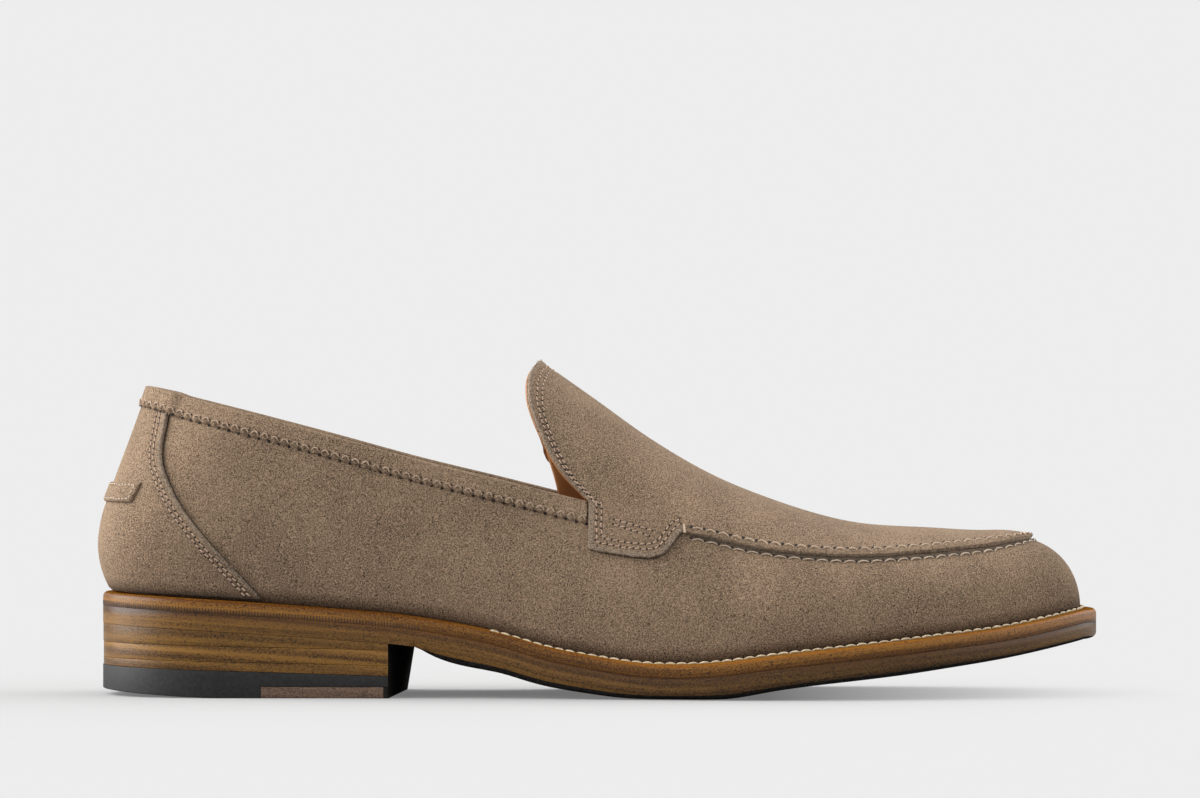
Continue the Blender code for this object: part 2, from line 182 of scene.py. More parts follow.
def rim_points(turn, beyond, height):
    """Points of a sole layer: beyond gives their distance outside the foot line, height their level."""
    step = 0.001
    here = foot_line(turn)
    way = foot_line(turn + step) - foot_line(turn - step)
    outward = np.stack((way[..., 1], -way[..., 0]), axis=-1) / np.linalg.norm(way, axis=-1, keepdims=True)
    plan = here + outward * beyond(here[..., 0] + MIDDLE_ALONG)[..., None]
    return np.concatenate((plan, height(plan[..., :1] + MIDDLE_ALONG)), axis=-1)


def layer_sections(lateral_turns, medial_turns, profile):
    """Sections across a sole layer: down the lateral side by the profile and up the medial one."""
    down = [rim_points(lateral_turns, *level) for level in profile]
    up = [rim_points(2 - medial_turns, *level) for level in reversed(profile)]
    return np.stack(down + up, axis=1)


def edge_profile(top, under, out, round_top, round_under, inside=4 * MM, steps=5):
    """A layer's profile from its top over its rounded edge to its underside, as (beyond, height) pairs."""
    profile = [(lambda x: out(x) - inside, top)]
    for angle in np.linspace(0, np.pi / 2, steps):
        profile.append((
            lambda x, a=angle: out(x) - round_top * (1 - np.sin(a)),
            lambda x, a=angle: top(x) - round_top * (1 - np.cos(a)),
        ))
    for angle in np.linspace(np.pi / 2, 0, steps):
        profile.append((
            lambda x, a=angle: out(x) - round_under * (1 - np.sin(a)),
            lambda x, a=angle: under(x) + round_under * (1 - np.cos(a)),
        ))
    profile.append((lambda x: out(x) - inside, under))
    return profile


def as_piece(name, bm, materials, slot, *nodes):
    """The finished mesh as a piece that rides on the shoe and stands for these nodes."""
    mesh = bpy.data.meshes.new(name)
    bm.to_mesh(mesh)
    bm.free()
    mesh.shade_smooth()
    mesh.set_sharp_from_angle(angle=SHARP)
    for material in materials:
        mesh.materials.append(material)
    below = mesh.attributes.new("below_foot", "FLOAT", "POINT")
    points = np.empty(len(mesh.vertices) * 3)
    mesh.vertices.foreach_get("co", points)
    points = points.reshape(-1, 3)
    below.data.foreach_set("value", foot(points[:, 0] + MIDDLE_ALONG) - points[:, 2])
    piece = bpy.data.objects.new(name, mesh)
    bpy.context.scene.collection.objects.link(piece)
    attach(piece, "root")
    if nodes:
        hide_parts(*nodes)
    return piece


def loft(sections, ends=(), end_material=0):
    """A closed solid through sections with the same number of points; ends names those that take a cap."""
    bm = bmesh.new()
    rings = [[bm.verts.new(point) for point in section] for section in sections]
    for ring, following in zip(rings, rings[1:]):
        for k in range(len(ring)):
            bm.faces.new((ring[k - 1], ring[k], following[k], following[k - 1]))
    for end in ends:
        bm.faces.new(rings[end]).material_index = end_material
    bmesh.ops.remove_doubles(bm, verts=bm.verts, dist=SAME_POINT)
    bmesh.ops.recalc_face_normals(bm, faces=bm.faces)
    return bm


def seen(red, green, blue):
    """A colour as it looks on screen, 0 to 255, in the linear values that shaders take."""
    return tuple(((c / 255 + 0.055) / 1.055) ** 2.4 for c in (red, green, blue)) + (1.0,)


def add(tree, kind, links=(), **values):
    """A shader node with its values set and its inputs linked."""
    made = tree.nodes.new(kind)
    for name, value in values.items():
        if hasattr(made, name):
            setattr(made, name, value)
        else:
            made.inputs[name.replace("_", " ")].default_value = value
    for name, socket in dict(links).items():
        tree.links.new(socket, made.inputs[name])
    return made


def feed(tree, made, *given):
    """Gives a node its inputs as (place, value) pairs; a value is a socket or a plain value."""
    for place, value in given:
        if isinstance(value, bpy.types.NodeSocket):
            tree.links.new(value, made.inputs[place])
        else:
            made.inputs[place].default_value = value


def mix(tree, share, first, second, blend="MIX"):
    made = add(tree, "ShaderNodeMix", data_type="RGBA", blend_type=blend)
    feed(tree, made, (0, share), (6, first), (7, second))
    return made.outputs[2]


def math_node(tree, operation, first, second=0.0):
    made = add(tree, "ShaderNodeMath", operation=operation)
    feed(tree, made, (0, first), (1, second))
    return made.outputs[0]


def spread(tree, value, low, high):
    """Stretches a value so that low becomes 0 and high becomes 1."""
    made = add(tree, "ShaderNodeMapRange", {"Value": value}, From_Min=low, From_Max=high)
    return made.outputs["Result"]


def noise(tree, vector, scale, detail=3.0, roughness=0.6):
    made = add(
        tree, "ShaderNodeTexNoise", {"Vector": vector}, Scale=scale, Detail=detail, Roughness=roughness,
    )
    return made.outputs["Fac"]


def new_material(name, **values):
    """A material and its tree and shader, with the values that are the same all over set on the shader."""
    material = bpy.data.materials.new(name)
    material.use_nodes = True
    shader = material.node_tree.nodes["Principled BSDF"]
    for key, value in values.items():
        shader.inputs[key.replace("_", " ")].default_value = value
    return material, material.node_tree, shader


def new_group(name, inputs, outputs):
    """An empty shader group with its named sockets; each is (name, kind)."""
    group = bpy.data.node_groups.new(name, "ShaderNodeTree")
    for label, kind in inputs:
        group.interface.new_socket(label, in_out="INPUT", socket_type="NodeSocket" + kind)
    for label, kind in outputs:
        group.interface.new_socket(label, in_out="OUTPUT", socket_type="NodeSocket" + kind)
    return group, group.nodes.new("NodeGroupInput"), group.nodes.new("NodeGroupOutput")


def bump(tree, shader, height, distance, strength=1.0):
    made = add(tree, "ShaderNodeBump", {"Height": height}, Distance=distance, Strength=strength)
    tree.links.new(made.outputs["Normal"], shader.inputs["Normal"])


def smooth_leather(name, light, dark, roughness):
    """Smooth vegetable-tanned leather with faint clouds and pores."""
    material, tree, shader = new_material(name, Roughness=roughness, Specular_IOR_Level=0.35)
    place = add(tree, "ShaderNodeTexCoord").outputs["Object"]
    clouds = noise(tree, place, 60.0)
    pores = noise(tree, place, 1400.0, 2.0)
    share = math_node(tree, "ADD", clouds, math_node(tree, "MULTIPLY", pores, 0.3))
    tree.links.new(mix(tree, spread(tree, share, 0.4, 0.95), dark, light), shader.inputs["Base Color"])
    bump(tree, shader, pores, 0.1 * MM, 0.5)
    return material


lining_leather = smooth_leather("tan_lining_leather", seen(152, 102, 58), seen(116, 72, 36), 0.55)

SOLE_STATIONS = 220
sole_turns = np.linspace(0, 1, SOLE_STATIONS + 1)
inside_wall = -WALL - 2 * GAP
insole_profile = edge_profile(
    lambda x: foot(x) + INSOLE, foot, lambda x: inside_wall + 0 * x, INSOLE_ROUND, INSOLE_UNDER_ROUND,
)
insole = loft(layer_sections(sole_turns, sole_turns, insole_profile))
as_piece("sock", insole, [lining_leather], "lining_leather", "insole")


# Upper
# One shell of taupe suede, lasted over the insole, with a smooth tan lining inside. It is open at the collar
# and at the throat, where the tongue stands up. Soft creases are pressed into it.
NOTCH = 0.488 * LENGTH
ROLL = 0.9 * MM  # height of the binding that is rolled over the collar's edge
ROLL_END = 2 * MM  # length over which it runs out at the notch
QUARTER_COLUMNS = 110
WALL_ROWS = 40
CROWN_ROWS = 26
VAMP_COLUMNS = 130
TONGUE_COLUMNS = 14
SETTLE_STEPS = 12
WELD = 0.002 * MM  # points of two sheets that lie closer than this are one
UPPER_EDGE = 0.8 * MM  # width over which its edges are rounded
PAINTED_LOW_SHADE = (-20 * MM, -3 * MM)  # heights below the foot line between which suede is darkened a little with painted shade
PAINTED_WELT_SHADE = (-4.5 * MM, -0.2 * MM)  # and between which more painted shade darkens it where it turns in at the welt

Edge = namedtuple("Edge", "along height")
COLLAR = [Edge(0, 96.5), Edge(5, 92.6), Edge(22, 79.2), Edge(32, 71.0), Edge(40, 65.2), Edge(48.8, 58.6)]
# The tongue's edge: share of the way from the notch up to the ridge, and the place on either side
Throat = namedtuple("Throat", "rise lateral medial")
TONGUE_EDGE = [
    Throat(0, 48.8, 48.8), Throat(0.06, 46.3, 45.1), Throat(0.15, 44.6, 44.1), Throat(0.23, 43.7, 43.5),
    Throat(0.34, 42.9, 42.9), Throat(0.48, 42.7, 42.7), Throat(0.7, 43.1, 43.1), Throat(0.85, 43.5, 43.5),
    Throat(0.94, 43.68, 43.68), Throat(1, 43.7, 43.7),
]
# Soft troughs, and ridges where the depth is negative, as lines in the side view: ends in per cent of the
# length and of the instep height, width and depth in millimetres
Crease = namedtuple("Crease", "along height to_along to_height width depth")
CREASES = [
    Crease(60, 22, 66, 40, 9, 0.35),
    Crease(66, 20, 71, 38, 8, -0.25),
    Crease(34, 52, 46, 46, 10, 0.4),
    Crease(28, 40, 38, 36, 12, -0.3),
    Crease(50, 30, 57, 38, 9, -0.3),
]

collar_height = through(COLLAR, "height", PER_CENT * INSTEP_HEIGHT)
tongue_lateral = through(TONGUE_EDGE, "lateral", PER_CENT * LENGTH, "rise", 1.0)
tongue_medial = through(TONGUE_EDGE, "medial", PER_CENT * LENGTH, "rise", 1.0)


def angle_at(x, z):
    """The lateral angle at which the section reaches a height."""
    share = np.clip((z - foot(x)) / np.maximum(last_height(x), 0.01 * MM), 0.0, 1.0)
    return np.arcsin(share ** (fullness(x) / 2))


def edge_angle(x, height, below=0.0):
    """The angle of a line on the upper whose height is given along the leaning heel."""
    z = height(x)
    for _ in range(SETTLE_STEPS):
        z = height(x + forward(x, z)) - below
    return angle_at(x, z)


def collar_angle(x, below=0.0):
    return edge_angle(x, collar_height, below)


def round_heel(t, angle):
    """The skin round the heel: t runs from the medial side, below 0, round the back to the lateral side."""
    t, angle = np.broadcast_arrays(t, angle)
    return skin(station(np.abs(t)), np.where(t < 0, np.pi - angle, angle))


def facing(surface, u, v):
    """Unit vectors that point out of a surface given as a function of two numbers."""
    step = 0.0005
    along = surface(u + step, v) - surface(u - step, v)
    up = surface(u, v + step) - surface(u, v - step)
    out = np.cross(along, up)
    return out / np.linalg.norm(out, axis=-1, keepdims=True)


def lifted(surface, u, v, lift):
    """Points at a height above a surface."""
    u, v = np.broadcast_arrays(u, v)
    return surface(u, v) + facing(surface, u, v) * np.asarray(lift)[..., None]


def towards_end(count, power):
    """Shares from 0 to 1 that come closer together towards 1."""
    return 1 - (1 - np.linspace(0, 1, count + 1)) ** power


def creased(points):
    """How far the creases press the skin in at these points."""
    x = points[..., 0] + MIDDLE_ALONG
    z = points[..., 2]
    depth = np.zeros(x.shape)
    for row in CREASES:
        start = np.array((row.along * PER_CENT * LENGTH, row.height * PER_CENT * INSTEP_HEIGHT))
        way = np.array((row.to_along * PER_CENT * LENGTH, row.to_height * PER_CENT * INSTEP_HEIGHT)) - start
        gap = np.stack((x, z), axis=-1) - start
        share = np.clip(gap @ way / (way @ way), 0.0, 1.0)
        far = np.linalg.norm(gap - share[..., None] * way, axis=-1)
        depth += row.depth * MM * np.exp(-((far / (row.width * MM)) ** 2))
    return depth


def near(points, targets):
    """Distance from each point to the nearest of the targets."""
    tree = KDTree(len(targets))
    for number, target in enumerate(targets):
        tree.insert(Vector(target), number)
    tree.balance()
    return np.array([tree.find(Vector(point))[2] for point in points])


def panel(sheets, low, high, edge_round, edge_share=0.55, furrows=(), band=0.0, shaded_from=math.inf):
    """A piece of leather over the last. Its sheets of skin points are welded and lifted to its two faces,
    its outer face is rounded off towards the border, and each furrow (line, depth, width) presses a seam in.
    Faces of the outside, the inside and the border with its band have material 0, 1 and 2; in front of
    shaded_from the border has 3, a darker copy of the cut edge for painted shade under a raised edge."""
    points = []
    quads = []
    for sheet in sheets:
        rows, columns = sheet.shape[:2]
        numbers = np.arange(rows * columns).reshape(rows, columns) + sum(len(part) for part in points)
        corners = (numbers[:-1, :-1], numbers[:-1, 1:], numbers[1:, 1:], numbers[1:, :-1])
        quads.append(np.stack(corners, axis=-1).reshape(-1, 4))
        points.append(sheet.reshape(-1, 3))
    points = np.concatenate(points)
    cells = np.round(points / WELD).astype(np.int64)
    _, first, welded = np.unique(cells, axis=0, return_index=True, return_inverse=True)
    points = points[first]
    quads = welded.reshape(-1)[np.concatenate(quads)]
    quads = np.array([quad for quad in quads.tolist() if len(set(quad)) > 2])

    across = np.cross(points[quads[:, 2]] - points[quads[:, 0]], points[quads[:, 3]] - points[quads[:, 1]])
    out = np.zeros_like(points)
    for corner in range(4):
        np.add.at(out, quads[:, corner], across)
    out /= np.linalg.norm(out, axis=1, keepdims=True)

    starts = quads.reshape(-1)
    ends = np.roll(quads, -1, axis=1).reshape(-1)
    ways = {(a, b) for a, b in zip(starts.tolist(), ends.tolist()) if a != b}
    border = [(a, b) for a, b in ways if (b, a) not in ways]
    border_numbers = sorted({a for a, b in border} | {b for a, b in border})
    from_border = near(points, points[border_numbers])
    lift = low + (high - low) * (edge_share + (1 - edge_share) * rounded(from_border / edge_round))
    lift -= creased(points)
    for line, depth, width in furrows:
        lift -= depth * np.exp(-((near(points, line) / width) ** 2))

    bm = bmesh.new()
    outer = [bm.verts.new(point) for point in points + out * lift[:, None]]
    inner = [bm.verts.new(point) for point in points + out * (low - creased(points))[:, None]]
    for quad in quads.tolist():
        corners = list(dict.fromkeys(quad))
        on_band = all(from_border[c] < band and points[c, 0] < shaded_from for c in corners)
        bm.faces.new([outer[c] for c in corners]).material_index = 2 * on_band
        bm.faces.new([inner[c] for c in reversed(corners)]).material_index = 1
    for a, b in sorted(border):
        edge_face = bm.faces.new((outer[b], outer[a], inner[a], inner[b]))
        edge_face.material_index = 2 + (points[a, 0] > shaded_from)
    return bm


def mirrored(angles):
    """Rows over the lateral side, repeated over the medial one."""
    return np.concatenate((angles, np.pi - angles[-2::-1]))


def suede_nap():
    """Group: the short nap of suede, as colour between three tones and as height."""
    group, given, made = new_group(
        "suede_nap", [("Light", "Color"), ("Dark", "Color"), ("Warm", "Color")],
        [("Color", "Color"), ("Height", "Float")],
    )
    place = add(group, "ShaderNodeTexCoord").outputs["Object"]
    clouds = noise(group, place, 38.0, 2.0)
    grain = noise(group, place, 2700.0, 2.0, 0.7)
    tips = noise(group, place, 2000.0, 2.0, 0.6)
    share = math_node(group, "ADD", grain, math_node(group, "MULTIPLY", clouds, 0.16))
    colour = mix(group, spread(group, share, 0.39, 0.77), given.outputs["Dark"], given.outputs["Light"])
    colour = mix(group, spread(group, tips, 0.55, 0.75), colour, given.outputs["Warm"])
    group.links.new(colour, made.inputs["Color"])
    group.links.new(math_node(group, "ADD", grain, tips), made.inputs["Height"])
    return group


nap = suede_nap()


def suede(name, light, dark, warm, sheen):
    """Suede with painted shade: a little darker towards the foot line, and darker still where it turns in at
    the welt.
    """
    material, tree, shader = new_material(
        name, Roughness=0.95, Specular_IOR_Level=0.1, Sheen_Weight=sheen, Sheen_Roughness=0.4,
        Sheen_Tint=seen(214, 196, 176),
    )
    fur = add(tree, "ShaderNodeGroup", node_tree=nap, Light=light, Dark=dark, Warm=warm)
    below = add(tree, "ShaderNodeAttribute", attribute_name="below_foot").outputs["Fac"]
    # Painted shade: darker towards the foot line, and darker still where the suede turns in at the welt.
    low = spread(tree, below, *PAINTED_LOW_SHADE)
    welt_shade = spread(tree, below, *PAINTED_WELT_SHADE)
    colour = mix(tree, low, fur.outputs["Color"], seen(240, 238, 237), "MULTIPLY")
    tree.links.new(mix(tree, welt_shade, colour, seen(158, 150, 145), "MULTIPLY"), shader.inputs["Base Color"])
    bump(tree, shader, fur.outputs["Height"], 0.3 * MM, 0.5)
    return material


taupe_suede = suede("taupe_suede", seen(154, 131, 108), seen(24, 18, 13), seen(103, 80, 63), 0.03)
cut_edge = suede("cut_suede_edge", seen(152, 134, 116), seen(32, 26, 21), seen(105, 89, 76), 0.0)

heel_end = station_of(NOTCH)
quarter_t = np.linspace(-heel_end, heel_end, 2 * QUARTER_COLUMNS + 1)
wall_shares = towards_end(WALL_ROWS, 1.4)


def lowered_collar(x):
    """The collar's edge under the rolled binding."""
    return collar_angle(x, ROLL * np.clip((NOTCH - x) / ROLL_END, 0.0, 1.0))


low_crown = collar_angle(NOTCH)
crown = mirrored(low_crown + (np.pi / 2 - low_crown) * np.linspace(0, 1, CROWN_ROWS + 1) ** 1.35)


def tongue_start(angle):
    """Where the tongue's edge lies at an angle over the instep."""
    rise = (np.minimum(angle, np.pi - angle) - low_crown) / (np.pi / 2 - low_crown)
    return np.where(angle <= np.pi / 2, tongue_lateral(rise), tongue_medial(rise))


def tongue_sheet():
    start = tongue_start(crown)[:, None]
    return skin(start + (NOTCH - start) * (1 - towards_end(TONGUE_COLUMNS, 1.6)[::-1]), crown[:, None])


quarter = round_heel(quarter_t, lowered_collar(station(np.abs(quarter_t))) * wall_shares[:, None])
wall = low_crown * wall_shares[:-1]
vamp_x = station(np.linspace(heel_end, 1, VAMP_COLUMNS + 1))
vamp = skin(vamp_x, np.concatenate((wall, crown, np.pi - wall[::-1]))[:, None])
upper = panel([quarter, vamp, tongue_sheet()], -WALL, 0.0, UPPER_EDGE)
as_piece("lasted_upper", upper, [taupe_suede, lining_leather, lining_leather], "suede", "upper")


# Counter
# A second layer of suede round the heel, glued over the upper. Its cut front edge is bevelled and held by two
# rows of fine stitches on each side.
OVERLAY = 1.2 * MM
COUNTER_LIFT = 0.9 * MM
COUNTER_TOP = 2.5 * MM  # below the collar's edge, under the binding
COUNTER_COLUMNS = 150
COUNTER_ROWS = 64
COUNTER_SEAM_INSETS = (2.2 * MM, 3.4 * MM)
FINE_PITCH = 2.0 * MM
FINE_THREAD = 0.2 * MM
FINE_SLANT = 0.22 * MM
FINE_ARCH = 0.16 * MM
SEAM_DEPTH = 0.2 * MM
SEAM_WIDTH = 0.7 * MM
EDGE_ROUND = 0.5 * MM
BEVEL = 1.2 * MM
# A dark tube along the counter's front edge and the wing's edge is painted shadow of the gap in front of the
# raised edge: its radius, how far out it lies and how high
GAP_LINE = 0.2 * MM
GAP_OUTSET = 0.1 * MM
GAP_LIFT = 0.1 * MM
LINE_POINTS = 160
STITCH_RINGS = 7
UNEVEN = 0.1 * MM
THREAD_SIDES = 6
GRAIN = 2500.0  # how fine the grain of a thread's two tones is
HOLE = 0.36 * MM
HOLE_SIDES = 8
HOLE_DEPTH = 0.4 * MM
HOLE_LIFT = 0.12 * MM  # a hole's plug, painted dark as its shade, stands this far above the line of its seam
FIBRE = 0.08 * MM
FIBRE_REACH = 0.8 * MM
FIBRE_SPACING = 0.3 * MM
FIBRE_INSET = 0.1 * MM
FIBRE_SINK = 0.3 * MM

Front = namedtuple("Front", "height along")
COUNTER_FRONT = [
    Front(28, 16.7), Front(40, 13.5), Front(51, 10.5), Front(63, 7.2), Front(70, 5.6), Front(84, 4.4),
]
counter_front = through(COUNTER_FRONT, "along", PER_CENT * LENGTH, "height", PER_CENT * INSTEP_HEIGHT)


def unit(vectors):
    return vectors / np.linalg.norm(vectors, axis=-1, keepdims=True)


def laid(surface, u, v, lift):
    """A line that lies at a height on a creased surface, and its facings."""
    u, v = np.broadcast_arrays(u, v)
    base = surface(u, v)
    out = facing(surface, u, v)
    return base + out * (lift - creased(base))[..., None], out


def lengths(line):
    """How far each point of a line is from its start."""
    return np.concatenate(([0.0], np.cumsum(np.linalg.norm(np.diff(line, axis=0), axis=1))))


def spaced(line, out, pitch):
    """Points and facings at even steps along a line."""
    far = lengths(line)
    places = np.linspace(0, far[-1], max(round(far[-1] / pitch), 1) + 1)

    def read(values):
        return np.stack([np.interp(places, far, column) for column in values.T], axis=-1)

    return read(line), unit(read(out))


def tube(bm, path, up, radii, material=0, flat=1.0):
    """A round cord along a path, closed at both ends; flat squeezes it towards the surface."""
    way = unit(np.gradient(path, axis=0))
    side = unit(np.cross(up, way))
    top = np.cross(way, side) * flat
    turns = np.linspace(0, 2 * np.pi, THREAD_SIDES, endpoint=False)
    rings = []
    for point, s, t, radius in zip(path, side, top, radii):
        rings.append([bm.verts.new(point + radius * (math.cos(a) * s + math.sin(a) * t)) for a in turns])
    for ring, following in zip(rings, rings[1:]):
        for k in range(THREAD_SIDES):
            bm.faces.new((ring[k - 1], ring[k], following[k], following[k - 1])).material_index = material
    bm.faces.new(rings[0][::-1]).material_index = material
    bm.faces.new(rings[-1]).material_index = material


def needle_holes(bm, places, up, radius, material=1):
    """Small plugs, painted dark for the shade in a hole, where the needle went in."""
    turns = np.linspace(0, 2 * np.pi, HOLE_SIDES, endpoint=False)
    for place, out in zip(places, up):
        side = unit(np.cross(out, (0.6, 0.0, 0.8)))
        other = np.cross(out, side)
        spokes = [radius * (math.cos(a) * side + math.sin(a) * other) for a in turns]
        top = [bm.verts.new(place + spoke) for spoke in spokes]
        tip = bm.verts.new(place - out * HOLE_DEPTH)
        bm.faces.new(top).material_index = material
        for k in range(HOLE_SIDES):
            bm.faces.new((top[k], top[k - 1], tip)).material_index = material


hand = np.random.default_rng(7)


def sew(bm, line, out, pitch, radius, arch, sway=0.0, slant=0.0, fill=0.76, hole=HOLE, taper=0.55, thread=0):
    """A row of slightly uneven stitches, one bowed thread from each needle hole towards the next. arch lifts
    its middle, sway bows it sideways and slant raises its far end."""
    holes, up = spaced(line, out, pitch)
    if hole:
        needle_holes(bm, holes + up * HOLE_LIFT, up, hole)
    share = np.linspace(0, 1, STITCH_RINGS)[:, None]
    bow = 4 * share * (1 - share)
    radii = radius * (taper + (1 - taper) * bow[:, 0] ** 0.5)
    for start, end, out_here in zip(holes[:-1], holes[1:], unit(up[:-1] + up[1:])):
        side = np.cross(out_here, unit(end - start))
        path = start + (end - start) * ((1 - fill) / 2 + fill * share)
        bend = (sway + hand.normal(0.0, UNEVEN)) * bow + (slant + hand.normal(0.0, UNEVEN)) * (share - 0.5)
        path = path + out_here * arch * bow + side * bend
        tube(bm, path, np.broadcast_to(out_here, path.shape), radii * hand.uniform(0.85, 1.15), thread)


def fringe(bm, line, out):
    """Loose fibres that stand off a cut edge."""
    far = lengths(line)
    radii = FIBRE * np.array((1, 0.8, 0.4))
    for place in hand.uniform(0.0, far[-1], round(far[-1] / FIBRE_SPACING)):
        start = np.array([np.interp(place, far, column) for column in line.T])
        up = unit(np.array([np.interp(place, far, column) for column in out.T]))
        way = unit(up * hand.uniform(0.1, 0.7) + hand.normal(0.0, 0.6, 3))
        path = start + way * FIBRE_REACH * hand.uniform(0.4, 1.0) * np.array(((0.0,), (0.5,), (1.0,)))
        tube(bm, path, np.broadcast_to(np.cross(way, (0.36, 0.48, 0.8)), path.shape), radii)


def two_tone(name, light, dark, scale, **values):
    """A material with two tones in fine grain."""
    material, tree, shader = new_material(name, **values)
    place = add(tree, "ShaderNodeTexCoord").outputs["Object"]
    grain = noise(tree, place, scale)
    tree.links.new(mix(tree, spread(tree, grain, 0.35, 0.65), dark, light), shader.inputs["Base Color"])
    bump(tree, shader, grain, 0.1 * MM, 0.5)
    return material


fine_thread = two_tone("rose_beige_thread", seen(180, 154, 133), seen(134, 110, 92), GRAIN, Roughness=0.8)
loop_thread = two_tone("beige_loop_thread", seen(178, 161, 141), seen(138, 121, 102), GRAIN, Roughness=0.7)
row_thread = two_tone("suede_coloured_thread", seen(182, 161, 138), seen(134, 114, 95), GRAIN, Roughness=0.8)
loose_fibre = two_tone("loose_suede_fibre", seen(170, 148, 124), seen(84, 68, 54), 900.0, Roughness=1.0)
hole_shadow = two_tone("needle_hole", seen(44, 34, 27), seen(28, 22, 18), GRAIN, Roughness=1.0)
gap_shadow = two_tone("painted_edge_shadow", seen(62, 50, 40), seen(34, 27, 22), 1500.0, Roughness=1.0)


def counter_angle(x, share):
    """Rows of the counter between the foot line and its top under the binding."""
    start = angle_at(x, foot(x) + COUNTER_LIFT)
    return start + (collar_angle(x, COUNTER_TOP) - start) * share


def counter_edge(share):
    """Where the counter's front edge lies on each row."""
    front = np.full_like(share, HEEL_ROUND)
    for _ in range(SETTLE_STEPS):
        front = counter_front(skin(front, counter_angle(front, share))[..., 2])
    return front


def counter_line(inset, side):
    """Places on a line behind the counter's front edge, from the welt up to the binding."""
    share = np.linspace(0.01, 0.94, LINE_POINTS)
    edge = counter_edge(share)
    slope = np.gradient(edge, skin(edge, counter_angle(edge, share))[:, 2])
    x = edge - inset * np.sqrt(1 + slope**2)
    return side * station_of(x), counter_angle(x, share)


counter_face = GAP + OVERLAY
counter_rows = np.linspace(0, 1, COUNTER_ROWS + 1)[:, None]
counter_turns = np.sin(np.linspace(-np.pi / 2, np.pi / 2, COUNTER_COLUMNS + 1))
counter_t = counter_turns * station_of(counter_edge(counter_rows))
counter_sheet = round_heel(counter_t, counter_angle(station(np.abs(counter_t)), counter_rows))
counter_lines = [counter_line(inset, side) for inset in COUNTER_SEAM_INSETS for side in (-1, 1)]
counter_furrows = [(round_heel(*line), SEAM_DEPTH, SEAM_WIDTH) for line in counter_lines]
counter = panel(
    [counter_sheet], GAP, counter_face, EDGE_ROUND, edge_share=0.6, furrows=counter_furrows, band=BEVEL,
)
as_piece("sewn_counter", counter, [taupe_suede, taupe_suede, cut_edge], "suede", "counter")

counter_seam = bmesh.new()
for line in counter_lines:
    placed = laid(round_heel, *line, counter_face - SEAM_DEPTH)
    sew(counter_seam, *placed, FINE_PITCH, FINE_THREAD, FINE_ARCH, slant=FINE_SLANT)
as_piece("counter_seams", counter_seam, [fine_thread, hole_shadow], "thread")
# Painted shadow: a dark line along the counter's front edge, where the gap under the raised edge lies in
# shade.
counter_gap_shade = bmesh.new()
for side in (-1, 1):
    line, out = laid(round_heel, *counter_line(-GAP_OUTSET, side), GAP_LIFT)
    tube(counter_gap_shade, line, out, np.full(len(line), GAP_LINE))
as_piece("counter_painted_edge_shadow", counter_gap_shade, [gap_shadow], "suede")
counter_fibres = bmesh.new()
for side in (-1, 1):
    fringe(counter_fibres, *laid(round_heel, *counter_line(FIBRE_INSET, side), counter_face - FIBRE_SINK))
as_piece("counter_fibres", counter_fibres, [loose_fibre], "suede")


# Back tab
# A small strip of suede that lies over the back of the heel and covers the middle of the counter. It is sewn
# on round its edge with one row of pale thread.
TAB_LOW = 57.5 * PER_CENT * INSTEP_HEIGHT
TAB_HIGH = 63.3 * PER_CENT * INSTEP_HEIGHT
TAB_REACH_LOW = 0.0420 * LENGTH
TAB_REACH_HIGH = 0.0450 * LENGTH
TAB_THICKNESS = 1.0 * MM
TAB_COLUMNS = 90
TAB_ROWS = 24
TAB_SEAM_INSET = 0.8 * MM
TAB_PITCH = 1.7 * MM
TAB_ARCH = 0.05 * MM
TAB_HOLE = 0.2 * MM
TAB_ROUND = 0.7 * MM
TAB_SEAT = 0.05 * MM  # above the counter


def tab_place(turn, share):
    """Place and angle on the tab: turn from its medial end, -1, to its lateral one, share from its lower
    edge."""
    reach = TAB_REACH_LOW + (TAB_REACH_HIGH - TAB_REACH_LOW) * share
    t = turn * station_of(reach)
    height = TAB_LOW + (TAB_HIGH - TAB_LOW) * share
    return t, edge_angle(station(np.abs(t)), lambda x: height + 0 * x)


tab_low_face = counter_face + TAB_SEAT
tab_face = tab_low_face + TAB_THICKNESS
tab_turns = np.sin(np.linspace(-np.pi / 2, np.pi / 2, TAB_COLUMNS + 1))
tab_shares = (1 - np.cos(np.linspace(0, np.pi, TAB_ROWS + 1)))[:, None] / 2
tab_sheet = round_heel(*tab_place(tab_turns, tab_shares))
tab = panel([tab_sheet], tab_low_face, tab_face, TAB_ROUND, edge_share=0.25)
as_piece("sewn_back_tab", tab, [taupe_suede, taupe_suede, taupe_suede], "suede", "back_tab")

tab_side = TAB_SEAM_INSET / TAB_REACH_HIGH
tab_rise = TAB_SEAM_INSET / (TAB_HIGH - TAB_LOW)
seam_corners = [
    (-1 + tab_side, tab_rise), (1 - tab_side, tab_rise), (1 - tab_side, 1 - tab_rise),
    (-1 + tab_side, 1 - tab_rise), (-1 + tab_side, tab_rise),
]
tab_seam = bmesh.new()
for (turn, share), (to_turn, to_share) in zip(seam_corners, seam_corners[1:]):
    way = np.linspace(0, 1, LINE_POINTS)
    places = tab_place(turn + (to_turn - turn) * way, share + (to_share - share) * way)
    sew(tab_seam, *laid(round_heel, *places, tab_face), TAB_PITCH, FINE_THREAD, TAB_ARCH, hole=TAB_HOLE)
as_piece("back_tab_seam", tab_seam, [loop_thread, hole_shadow], "thread")


